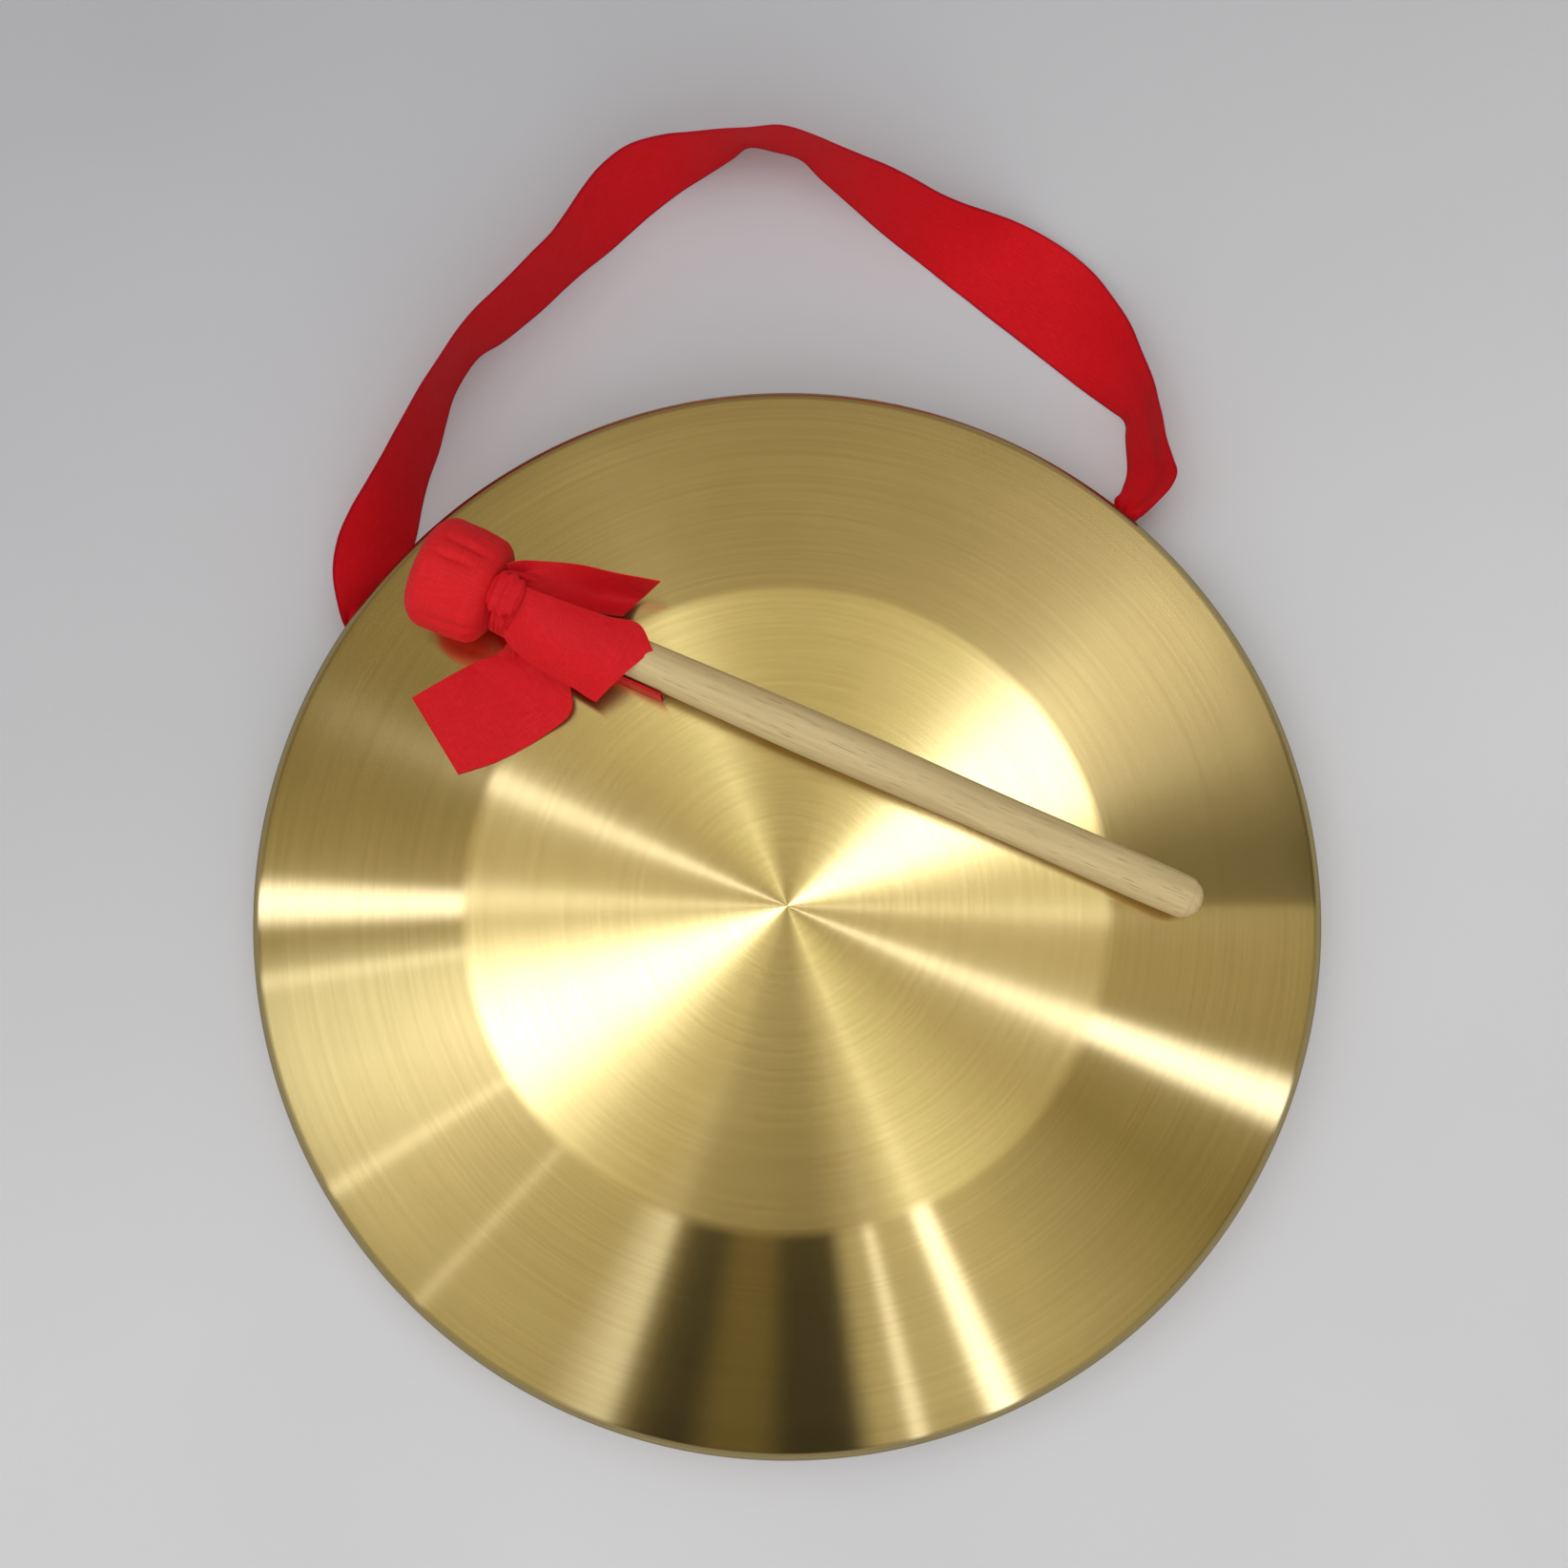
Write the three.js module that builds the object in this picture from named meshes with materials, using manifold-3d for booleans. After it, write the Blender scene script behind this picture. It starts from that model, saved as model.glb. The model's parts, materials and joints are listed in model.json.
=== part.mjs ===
// A hand gong of spun brass lying face up on its rim, with its red ribbon strap laid out beyond it
// and its cloth-headed beater resting across its face.
// Millimetres, +Z up. The rim stands on z = 0, and the origin is the middle of the set's footprint.
import * as THREE from "three";
import { mergeVertices } from "three/addons/utils/BufferGeometryUtils.js";
import Module from "manifold-3d";

// Gong: one spun sheet with a flat middle, a sloping shoulder and a rim turned back
const gongRadius = 140;
const flatRadius = 83;
const rimDepth = 22;
const faceRise = 8.5;
const sheet = 1.3;
const bendRadius = 3.5;
const shoulderRadius = 25;
const rimLean = THREE.MathUtils.degToRad(10.7);
const gongSides = 96;
const bendSteps = 7;
const shoulderSteps = 3;

// Cord holes through the rim, one for each end of the strap
const holeRadius = 2.6;
const holeHeight = 11;
const holeAngles = {
  left: THREE.MathUtils.degToRad(147.5),
  right: THREE.MathUtils.degToRad(49.5),
};
const holeSides = 20;

// Strap: a satin ribbon, gathered and knotted behind each hole
const strapWidth = 25.5;
const ribbonThickness = 0.9;
const strapReach = 121.5;
const strapPleats = 2;
const strapPleatDepth = 1.1;
const pivotHeight = 16;
const pivotOverhang = 5.5;
const gatherRadius = 1.9;
const gatherThickness = 3;
const gatherWidth = 4.4;
const gatherLength = 2;
const pivotGap = 0.6;
const knotTurnRadius = 2.3;
const knotSteps = 72;
const knotSides = 8;
const knotTurnShare = 0.86;
const spreadFrom = 1;
const spreadTo = 4;

// Beater: a turned stick, wound wadding and a gathered cloth cover
const beaterOffset = 42.2;
const beaterAngle = THREE.MathUtils.degToRad(-23.6);
const beaterLength = 217.5;
const gripReach = 96.5;
const stickRadius = 6;
const stickSides = 24;
const headRadius = 14.8;
const headLength = 21.5;
const headCorner = 6;
const headCornerSteps = 5;
const clothThickness = 1.1;
const neckLength = 7.5;
const endPadding = 5;
const headSides = 48;
const pleatCount = 12;
const pleatDepth = 0.5;
const pleatEndShare = 0.35;

// Binding and bow at the neck
const tailWidth = 25;
const bindingWidth = 6.5;
const bindingThickness = 1.4;
const bindingTurns = 3;
const bowLength = 8;
const bowWidth = 10;
const bowHeight = 5;
const foldedWidth = 10.5;
const edgeTailShares = [0.81, 1.13, 1.45, 1.77];

// Shared clearances and counts
const clearance = 0.3;
const overrun = 5;
const acrossSteps = 8;
const tailSteps = 14;

const wasm = await Module();
wasm.setup();

const brass = new THREE.MeshStandardMaterial({ color: 0xc8a85a, roughness: 0.32, metalness: 1 });
const satin = new THREE.MeshStandardMaterial({ color: 0xc01826, roughness: 0.55, metalness: 0 });
const cloth = new THREE.MeshStandardMaterial({ color: 0xc8202a, roughness: 0.85, metalness: 0 });
const wadding = new THREE.MeshStandardMaterial({ color: 0xd9d2c2, roughness: 0.95, metalness: 0 });
const wood = new THREE.MeshStandardMaterial({ color: 0xcdb482, roughness: 0.7, metalness: 0 });

const up = new THREE.Vector3(0, 0, 1);

function meshOf(name, geometry, material) {
  const mesh = new THREE.Mesh(geometry, material);
  mesh.name = name;
  return mesh;
}

// A closed geometry as a solid that can be cut
function solidOf(geometry) {
  const bare = geometry.index ? geometry.toNonIndexed() : geometry.clone();
  bare.deleteAttribute("normal");
  bare.deleteAttribute("uv");
  const merged = mergeVertices(bare);
  const vertProperties = merged.attributes.position.array;
  const triVerts = new Uint32Array(merged.index.array);
  return new wasm.Manifold(new wasm.Mesh({ numProp: 3, vertProperties, triVerts }));
}

function geometryOf(solid) {
  const mesh = solid.getMesh();
  const geometry = new THREE.BufferGeometry();
  geometry.setAttribute("position", new THREE.BufferAttribute(mesh.vertProperties, 3));
  geometry.setIndex(new THREE.BufferAttribute(mesh.triVerts, 1));
  geometry.computeVertexNormals();
  return geometry;
}

// A profile of (radius, height) points turned about the Z axis
function turnedUpright(points, sides) {
  return new THREE.LatheGeometry(points, sides).rotateX(Math.PI / 2);
}

// A profile of (radius, place along) points turned about the X axis
function turnedAlong(points, sides) {
  return new THREE.LatheGeometry(points, sides).rotateZ(-Math.PI / 2);
}

function arcPoints(centre, radius, from, to, steps) {
  const points = [];
  for (let i = 0; i <= steps; i += 1) {
    const angle = THREE.MathUtils.lerp(from, to, i / steps);
    const spoke = new THREE.Vector2(Math.cos(angle), Math.sin(angle));
    points.push(spoke.multiplyScalar(radius).add(centre));
  }
  return points;
}

// Gong outline. The sloping face is the tangent from the flat's edge to the bend at the rim.
const faceHeight = rimDepth + faceRise;
const bendCentre = new THREE.Vector2(gongRadius - bendRadius, rimDepth - bendRadius);
const shoulderCorner = new THREE.Vector2(flatRadius, faceHeight);
const cornerToBend = bendCentre.clone().sub(shoulderCorner);
const faceSlope = Math.atan2(-cornerToBend.y, cornerToBend.x) - Math.asin(bendRadius / cornerToBend.length());
const shoulderCentre = new THREE.Vector2(
  flatRadius - shoulderRadius * Math.tan(faceSlope / 2),
  faceHeight - shoulderRadius,
);

// The sheet's outline from the axis to the foot of the rim, set in by a depth from its outer side
function shellLine(inset) {
  const shoulder = arcPoints(
    shoulderCentre,
    shoulderRadius - inset,
    Math.PI / 2,
    Math.PI / 2 - faceSlope,
    shoulderSteps,
  );
  const bend = arcPoints(bendCentre, bendRadius - inset, Math.PI / 2 - faceSlope, -rimLean, bendSteps);
  const wallTop = bend[bend.length - 1];
  const foot = new THREE.Vector2(wallTop.x - wallTop.y * Math.tan(rimLean), 0);
  return [new THREE.Vector2(0, faceHeight - inset), ...shoulder, ...bend, foot];
}

// Radius of the rim's outer side at a height on the wall
function rimRadiusAt(height) {
  const line = shellLine(0);
  const foot = line[line.length - 1];
  return foot.x + height * Math.tan(rimLean);
}

// Height of the struck face at a distance from the gong's axis
function faceAt(radius) {
  const line = shellLine(0);
  for (let i = 1; i < line.length; i += 1) {
    if (radius <= line[i].x) {
      const share = (radius - line[i - 1].x) / (line[i].x - line[i - 1].x);
      return THREE.MathUtils.lerp(line[i - 1].y, line[i].y, share);
    }
  }
  return 0;
}

function spokeAt(angle) {
  return new THREE.Vector3(Math.cos(angle), Math.sin(angle), 0);
}

function gongPlate() {
  const profile = [...shellLine(sheet), ...shellLine(0).reverse()];
  let solid = solidOf(turnedUpright(profile, gongSides));
  for (const angle of Object.values(holeAngles)) {
    const depth = sheet + 2 * overrun;
    const drill = new THREE.CylinderGeometry(holeRadius, holeRadius, depth, holeSides);
    drill.rotateZ(Math.PI / 2);
    drill.translate(rimRadiusAt(holeHeight), 0, holeHeight);
    drill.rotateZ(angle);
    solid = solid.subtract(solidOf(drill));
  }
  return meshOf("gong_plate", geometryOf(solid), brass);
}

// A thin closed solid about a surface given by its points, with a thickness for each place along it
function sheetSolid(pointAt, alongSteps, thicknessAt) {
  const grid = [];
  for (let i = 0; i <= alongSteps; i += 1) {
    const row = [];
    for (let j = 0; j <= acrossSteps; j += 1) {
      row.push(pointAt(i / alongSteps, j / acrossSteps));
    }
    grid.push(row);
  }
  const positions = [];
  for (const side of [0.5, -0.5]) {
    for (let i = 0; i <= alongSteps; i += 1) {
      for (let j = 0; j <= acrossSteps; j += 1) {
        const alongBefore = grid[Math.max(i - 1, 0)][j];
        const alongAfter = grid[Math.min(i + 1, alongSteps)][j];
        const acrossBefore = grid[i][Math.max(j - 1, 0)];
        const acrossAfter = grid[i][Math.min(j + 1, acrossSteps)];
        const run = alongAfter.clone().sub(alongBefore);
        const width = acrossAfter.clone().sub(acrossBefore);
        const normal = run.cross(width).normalize();
        const point = grid[i][j].clone().addScaledVector(normal, side * thicknessAt(i / alongSteps));
        positions.push(point.x, point.y, point.z);
      }
    }
  }
  const rowLength = acrossSteps + 1;
  const layer = rowLength * (alongSteps + 1);
  const index = [];
  const quad = (a, b, c, d) => {
    index.push(a, b, c, a, c, d);
  };
  for (let i = 0; i < alongSteps; i += 1) {
    for (let j = 0; j < acrossSteps; j += 1) {
      const corner = i * rowLength + j;
      const next = corner + rowLength;
      quad(corner, next, next + 1, corner + 1);
      quad(layer + corner, layer + corner + 1, layer + next + 1, layer + next);
    }
    const near = i * rowLength;
    const far = near + acrossSteps;
    quad(near, layer + near, layer + near + rowLength, near + rowLength);
    quad(far, far + rowLength, layer + far + rowLength, layer + far);
  }
  const last = alongSteps * rowLength;
  for (let j = 0; j < acrossSteps; j += 1) {
    quad(j, j + 1, layer + j + 1, layer + j);
    quad(last + j, layer + last + j, layer + last + j + 1, last + j + 1);
  }
  const geometry = new THREE.BufferGeometry();
  geometry.setAttribute("position", new THREE.Float32BufferAttribute(positions, 3));
  geometry.setIndex(index);
  geometry.computeVertexNormals();
  return geometry;
}

// The middle surface of a ribbon through its stations. Each station has the places of the
// ribbon's left and right edges and the height of its crown above the line between them.
function ribbonSurface(stations) {
  const lefts = new THREE.CatmullRomCurve3(stations.map((station) => station.left));
  const rights = new THREE.CatmullRomCurve3(stations.map((station) => station.right));
  const crowns = new THREE.CatmullRomCurve3(
    stations.map((station) => new THREE.Vector3(station.crown, 0, 0)),
    false,
    "catmullrom",
  );
  return (along, across) => {
    const left = lefts.getPoint(along);
    const right = rights.getPoint(along);
    const run = lefts.getTangent(along).add(rights.getTangent(along));
    const face = run.cross(left.clone().sub(right)).normalize();
    const crown = crowns.getPoint(along).x * (1 - (2 * across - 1) ** 2);
    return right.lerp(left, across).addScaledVector(face, crown);
  };
}

// The strap swings about the line through its two pivots, just outside the rim
const pivotRadius = gongRadius + pivotOverhang;
const pivots = {
  left: spokeAt(holeAngles.left).multiplyScalar(pivotRadius).setZ(pivotHeight),
  right: spokeAt(holeAngles.right).multiplyScalar(pivotRadius).setZ(pivotHeight),
};
const pivotSpan = pivots.left.distanceTo(pivots.right);
const pivotMiddle = pivots.left.clone().lerp(pivots.right, 0.5);
const pivotTurn = Math.atan2(pivots.right.y - pivots.left.y, pivots.right.x - pivots.left.x);

// Strap outline in shares of the half span and the reach. Each station gives the ribbon's raised
// outer edge, then the inner edge that it stands on. Where the two are close it stands upright.
const strapShares = [
  [-0.97, 0.09, -0.87, 0.09],
  [-0.965, 0.17, -0.81, 0.18],
  [-0.93, 0.23, -0.78, 0.25],
  [-0.86, 0.3, -0.75, 0.32],
  [-0.78, 0.38, -0.72, 0.4],
  [-0.69, 0.48, -0.66, 0.51],
  [-0.6, 0.58, -0.575, 0.6],
  [-0.48, 0.68, -0.44, 0.67],
  [-0.33, 0.79, -0.25, 0.79],
  [-0.22, 0.9, -0.13, 0.86],
  [-0.12, 0.96, -0.03, 0.92],
  [0, 0.97, 0.07, 0.97],
  [0.16, 0.96, 0.17, 1.01],
  [0.3, 0.94, 0.29, 0.99],
  [0.46, 0.86, 0.42, 0.88],
  [0.6, 0.78, 0.52, 0.76],
  [0.75, 0.71, 0.63, 0.65],
  [0.89, 0.67, 0.73, 0.535],
  [0.99, 0.59, 0.84, 0.44],
  [1.04, 0.48, 0.925, 0.36],
  [1.06, 0.37, 0.985, 0.3],
  [1.075, 0.27, 1.03, 0.26],
  [1.085, 0.18, 1.045, 0.2],
  [1.095, 0.1, 1.035, 0.14],
  [1.075, 0.03, 1.01, 0.075],
];
const strapSteps = 84;

function strapRibbon() {
  const halfSpan = pivotSpan / 2;
  const stations = strapShares.map(([outerAlong, outerOut, innerAlong, innerOut]) => {
    const left = new THREE.Vector3(outerAlong * halfSpan, outerOut * strapReach, 0);
    const right = new THREE.Vector3(innerAlong * halfSpan, innerOut * strapReach, 0);
    const level = left.distanceTo(right);
    right.z = clearance + ribbonThickness / 2;
    left.z = right.z + Math.sqrt(Math.max(strapWidth ** 2 - level ** 2, 0));
    return { left, right, crown: 0 };
  });
  const leftEnd = gatheredStations(-halfSpan, stations[0]);
  const rightEnd = gatheredStations(halfSpan, stations[stations.length - 1]).reverse();
  const surface = ribbonSurface([...leftEnd, ...stations, ...rightEnd]);
  const nearEnd = (along) => {
    const fromEnd = Math.min(along, 1 - along) * (leftEnd.length + stations.length + rightEnd.length - 1);
    return 1 - THREE.MathUtils.smoothstep(fromEnd, spreadFrom, spreadTo);
  };
  const thicknessAt = (along) => {
    return THREE.MathUtils.lerp(ribbonThickness, gatherThickness, nearEnd(along) ** 3);
  };
  const pleated = (along, across) => {
    const depth = strapPleatDepth * Math.sin(nearEnd(along) * Math.PI);
    const point = surface(along, across);
    point.y += depth * Math.sin(2 * Math.PI * strapPleats * across);
    point.z = Math.max(point.z, clearance + thicknessAt(along) / 2);
    return point;
  };
  return meshOf("strap_ribbon", sheetSolid(pleated, strapSteps, thicknessAt), satin);
}

// The ribbon's bunched end, a running gap clear of the knotted end that it turns about, and the
// place where it has left the pivot and begins to spread
function gatheredStations(pivotPlace, neighbour) {
  const pivot = new THREE.Vector3(pivotPlace, 0, pivotHeight);
  const toward = neighbour.left.clone().add(neighbour.right).multiplyScalar(0.5).sub(pivot).normalize();
  const across = neighbour.left.clone().sub(neighbour.right).projectOnPlane(toward).normalize();
  return [0, gatherLength].map((distance) => {
    const middle = pivot.clone().addScaledVector(toward, gatherRadius + pivotGap + distance);
    const left = middle.clone().addScaledVector(across, (gatherWidth + distance) / 2);
    const right = middle.clone().addScaledVector(across, -(gatherWidth + distance) / 2);
    return { left, right, crown: 0 };
  });
}

// The three crossings of an overhand knot behind the rim
function knotTurns(spoke) {
  const tangent = new THREE.Vector3(-spoke.y, spoke.x, 0);
  const knotRadius = rimRadiusAt(holeHeight) - sheet - clearance - gatherRadius - 2 * knotTurnRadius;
  const centre = spoke.clone().multiplyScalar(knotRadius).setZ(holeHeight);
  const points = [];
  for (let i = 0; i <= knotSteps; i += 1) {
    const turn = 2 * Math.PI * THREE.MathUtils.lerp(1 - knotTurnShare, knotTurnShare, i / knotSteps);
    const across = Math.sin(turn) + 2 * Math.sin(2 * turn);
    const upward = Math.cos(turn) - 2 * Math.cos(2 * turn);
    const depth = -Math.sin(3 * turn);
    const point = centre.clone().addScaledVector(tangent, across * knotTurnRadius);
    point.addScaledVector(spoke, depth * knotTurnRadius);
    point.z += upward * knotTurnRadius;
    points.push(point);
  }
  return points;
}

function gatheredSection() {
  const shape = new THREE.Shape();
  shape.absarc(0, 0, gatherRadius, 0, 2 * Math.PI, false);
  return shape;
}

// The gathered ribbon comes in from the pivot through the hole and makes its knot
function knotMesh(side) {
  const spoke = spokeAt(holeAngles[side]);
  const atHole = spoke.clone().multiplyScalar(rimRadiusAt(holeHeight)).setZ(holeHeight);
  const inside = atHole.clone().addScaledVector(spoke, -sheet - 2 * gatherRadius);
  const outside = pivots[side].clone();
  const leadOut = atHole.clone().addScaledVector(spoke, sheet);
  const route = new THREE.CatmullRomCurve3([outside, leadOut, atHole, inside, ...knotTurns(spoke)]);
  const geometry = new THREE.ExtrudeGeometry(gatheredSection(), {
    steps: knotSteps,
    curveSegments: knotSides,
    bevelEnabled: false,
    extrudePath: route,
  });
  return meshOf("strap_knot_" + side, geometry, satin);
}

// Beater. Places along it are measured from the point of its stick nearest to the gong's axis.
const headEnd = gripReach - beaterLength;
const headNeck = headEnd + headLength;
const stickEnd = headEnd + endPadding;

// Stick radius along its length: a little slimmer at the neck, full in the hand, with a round end
const stickShares = [
  [0, 0],
  [0, 0.82],
  [0.015, 0.87],
  [0.2, 0.87],
  [0.5, 1],
  [0.75, 0.93],
  [0.92, 0.95],
  [0.97, 0.92],
  [0.987, 0.78],
  [0.997, 0.45],
  [1, 0],
];

function stickRadiusAt(place) {
  const share = (place - stickEnd) / (gripReach - stickEnd);
  for (let i = 2; i < stickShares.length; i += 1) {
    const [before, radiusBefore] = stickShares[i - 1];
    const [after, radiusAfter] = stickShares[i];
    if (share <= after) {
      const between = (share - before) / (after - before);
      return stickRadius * THREE.MathUtils.lerp(radiusBefore, radiusAfter, between);
    }
  }
  return 0;
}

function handleStick() {
  const length = gripReach - stickEnd;
  const profile = stickShares.map(([along, radius]) => {
    return new THREE.Vector2(radius * stickRadius, stickEnd + along * length);
  });
  return meshOf("handle_stick", turnedAlong(profile, stickSides), wood);
}

// The head's outline from its closed end to its neck, set in by a depth from the cloth's outer side
function headLine(inset) {
  const cornerRadius = headCorner - inset;
  const crown = new THREE.Vector2(headRadius - headCorner, headEnd + headCorner);
  const gather = new THREE.Vector2(headRadius - headCorner, headNeck - headCorner);
  const closedEnd = arcPoints(crown, cornerRadius, -Math.PI / 2, 0, headCornerSteps);
  const neckEnd = arcPoints(gather, cornerRadius, 0, Math.PI / 2, headCornerSteps);
  return [...closedEnd, ...neckEnd];
}

const neckRadius = stickRadiusAt(headNeck) + clearance + clothThickness;

// The cover's outer side runs on from the head's shoulder down to the neck and along the stick
function headCover() {
  const neckEnd = headNeck + neckLength;
  const outer = headLine(0);
  const inner = headLine(clothThickness);
  const profile = [
    new THREE.Vector2(0, headEnd),
    ...outer,
    new THREE.Vector2(neckRadius, headNeck),
    new THREE.Vector2(neckRadius, neckEnd),
    new THREE.Vector2(neckRadius - clothThickness, neckEnd),
    new THREE.Vector2(neckRadius - clothThickness, headNeck - clothThickness),
    ...inner.reverse(),
    new THREE.Vector2(0, headEnd + clothThickness),
  ];
  const geometry = turnedAlong(profile, headSides);
  pleat(geometry);
  return meshOf("head_cover", geometry, cloth);
}

// Pleats along the head, deepest where the cloth is drawn in towards the neck
function pleat(geometry) {
  const position = geometry.attributes.position;
  for (let i = 0; i < position.count; i += 1) {
    const x = position.getX(i);
    const y = position.getY(i);
    const z = position.getZ(i);
    const radius = Math.hypot(y, z);
    const turn = Math.atan2(z, y);
    const drawn = THREE.MathUtils.smoothstep(x, headEnd + headCorner, headNeck - headCorner / 2);
    const fullness = THREE.MathUtils.smoothstep(radius, neckRadius, headRadius);
    const depth = pleatDepth * THREE.MathUtils.lerp(pleatEndShare, 1, drawn) * fullness;
    const change = depth * Math.cos(pleatCount * turn) - pleatDepth * fullness;
    const share = radius > 0 ? (radius + change) / radius : 1;
    position.setXYZ(i, x, y * share, z * share);
  }
  geometry.computeVertexNormals();
}

function headWadding() {
  const inset = clothThickness + clearance + 2 * pleatDepth;
  const line = headLine(inset);
  const bore = stickRadius + clearance;
  const boreFloor = stickEnd - clearance;
  const neckFace = headNeck - inset;
  const profile = [
    new THREE.Vector2(0, headEnd + inset),
    ...line,
    new THREE.Vector2(bore, neckFace),
    new THREE.Vector2(bore, boreFloor),
    new THREE.Vector2(0, boreFloor),
  ];
  return meshOf("head_wadding", turnedAlong(profile, stickSides), wadding);
}

// Ribbon wound round the cover's neck, in a few overlapping turns
function neckBinding() {
  const inner = neckRadius + clearance;
  const start = headNeck + clearance;
  const turnWidth = bindingWidth / bindingTurns;
  const profile = [new THREE.Vector2(inner, start)];
  for (let i = 0; i < bindingTurns; i += 1) {
    const from = start + i * turnWidth;
    profile.push(new THREE.Vector2(inner + bindingThickness / 2, from));
    profile.push(new THREE.Vector2(inner + bindingThickness, from + turnWidth / 2));
  }
  profile.push(new THREE.Vector2(inner + bindingThickness / 2, start + bindingWidth));
  profile.push(new THREE.Vector2(inner, start + bindingWidth));
  profile.push(new THREE.Vector2(inner, start));
  return meshOf("neck_binding", turnedAlong(profile, stickSides), satin);
}

// The beater's seat. Each place under it needs the axis at least this high above z = 0. Of all
// the lines that clear them, the beater lies on the one that is lowest at its balance point.
const balance = headNeck + headLength;
const bindingRadius = neckRadius + clearance + bindingThickness;
const seatSteps = 120;

function undersideRadiusAt(place) {
  if (place > headEnd + headCorner / 2 && place < headNeck - headCorner / 2) {
    return headRadius;
  }
  const bound = place > headNeck - clearance && place < headNeck + neckLength + clearance;
  return bound ? bindingRadius : stickRadiusAt(place);
}

function heightNeededAt(place) {
  const radius = undersideRadiusAt(place);
  let highest = 0;
  for (let i = 0; i <= seatSteps; i += 1) {
    const aside = THREE.MathUtils.lerp(-radius, radius, i / seatSteps);
    const below = faceAt(Math.hypot(place, beaterOffset + aside));
    highest = Math.max(highest, below + Math.sqrt(radius ** 2 - aside ** 2) + clearance);
  }
  return highest;
}

function heightAtBalance(slope) {
  let highest = 0;
  for (let i = 0; i <= seatSteps; i += 1) {
    const place = THREE.MathUtils.lerp(headEnd + headCorner / 2, gripReach, i / seatSteps);
    highest = Math.max(highest, heightNeededAt(place) - slope * (place - balance));
  }
  return highest;
}

function restingSlope() {
  let low = -1;
  let high = 1;
  for (let i = 0; i < seatSteps; i += 1) {
    const third = (high - low) / 3;
    if (heightAtBalance(low + third) < heightAtBalance(high - third)) {
      high -= third;
    } else {
      low += third;
    }
  }
  return (low + high) / 2;
}

const beaterSlope = restingSlope();
const axisHeightAt = (place) => heightAtBalance(beaterSlope) + beaterSlope * (place - balance);

// Bow: the knot sits on the binding, and its four ends fan out from it
const bowPlace = headNeck + clearance + bowLength / 2;
const bowZ = axisHeightAt(bowPlace) + bindingRadius + clearance + bowHeight / 2;

function bowKnot() {
  const geometry = new THREE.SphereGeometry(1, 20, 14);
  geometry.scale(bowLength / 2, bowWidth / 2, bowHeight / 2);
  geometry.translate(bowPlace, beaterOffset, bowZ);
  return meshOf("bow_knot", geometry, satin);
}

// Lowest place for the middle of a ribbon above the struck face, level beyond the bend at the rim
function lyingAt(x, y) {
  const fromAxis = Math.min(Math.hypot(x, y), bendCentre.x);
  return faceAt(fromAxis) + clearance + ribbonThickness;
}

// Tail stations in shares of the ribbon's width from the bow. Each gives the left edge along the
// stick, across it and its rise from the face (0) to the bow (1), the same for the right edge,
// and the crown between them, which is negative where the ribbon is folded into a trough.
const upperTailShares = [
  [-0.13, 0.38, 0.72, -0.09, 0.23, 0.88, 0],
  [0.15, 0.54, 0.7, 0.17, 0.3, 0.74, -0.05],
  [0.43, 0.66, 0.6, 0.51, 0.34, 0.57, -0.24],
  [0.88, 0.76, 0.52, 0.81, 0.38, 0.49, -0.34],
  [1.28, 0.83, 0.46, 1.07, 0.4, 0.43, -0.36],
];
const middleTailShares = [
  [0.18, 0.12, 0.91, 0.18, -0.11, 0.89, 0],
  [0.31, 0.26, 0.78, 0.29, -0.31, 0.76, 0.06],
  [0.49, 0.26, 0.71, 0.51, -0.45, 0.6, 0.12],
  [0.86, 0.3, 0.66, 0.83, -0.52, 0.45, 0.16],
  [1.38, 0.3, 0.62, 1.16, -0.55, 0.41, 0.17],
];
const lowerTailShares = [
  [0.12, -0.28, 0.64, 0.31, -0.21, 0.68, 0],
  [0.08, -0.44, 0.4, 0.59, -0.32, 0.44, 0],
  [-0.03, -0.52, 0.16, 0.96, -0.71, 0.18, 0],
  [-0.19, -0.62, 0.02, 0.79, -1.08, 0.02, 0],
  [-0.43, -0.91, 0, 0.47, -1.5, 0, 0],
  [-0.68, -1.25, 0, 0.13, -1.8, 0, 0],
];
const tails = {
  tail_upper: upperTailShares,
  tail_middle: middleTailShares,
  tail_lower: lowerTailShares,
};

function tailEdge(along, across, rise) {
  const x = bowPlace + along * tailWidth;
  const y = beaterOffset + across * tailWidth;
  return new THREE.Vector3(x, y, THREE.MathUtils.lerp(lyingAt(x, y), bowZ, rise));
}

function tailMesh(name) {
  const stations = tails[name].map((shares) => {
    const left = tailEdge(...shares.slice(0, 3));
    const right = tailEdge(...shares.slice(3, 6));
    return { left, right, crown: shares[6] * tailWidth };
  });
  const surface = ribbonSurface(stations);
  const draped = (along, across) => {
    const point = surface(along, across);
    point.z = Math.max(point.z, lyingAt(point.x, point.y));
    return point;
  };
  return meshOf(name, sheetSolid(draped, tailSteps, () => ribbonThickness), satin);
}

// The fourth end is folded lengthwise and lies on edge along the stick
function edgeTail() {
  const stations = edgeTailShares.map((share) => {
    const x = bowPlace + share * tailWidth;
    const y = beaterOffset - stickRadiusAt(x) - clearance - ribbonThickness;
    const right = new THREE.Vector3(x, y, lyingAt(x, y));
    const left = right.clone().addScaledVector(up, foldedWidth);
    return { left, right, crown: 0 };
  });
  const geometry = sheetSolid(ribbonSurface(stations), tailSteps, () => ribbonThickness);
  return meshOf("tail_edge", geometry, satin);
}

// The set: the gong on its axis, the strap on its pivots, the beater across the face
const strap = new THREE.Group();
strap.position.set(pivotMiddle.x, pivotMiddle.y, 0);
strap.rotation.z = pivotTurn;
strap.add(strapRibbon());

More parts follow.
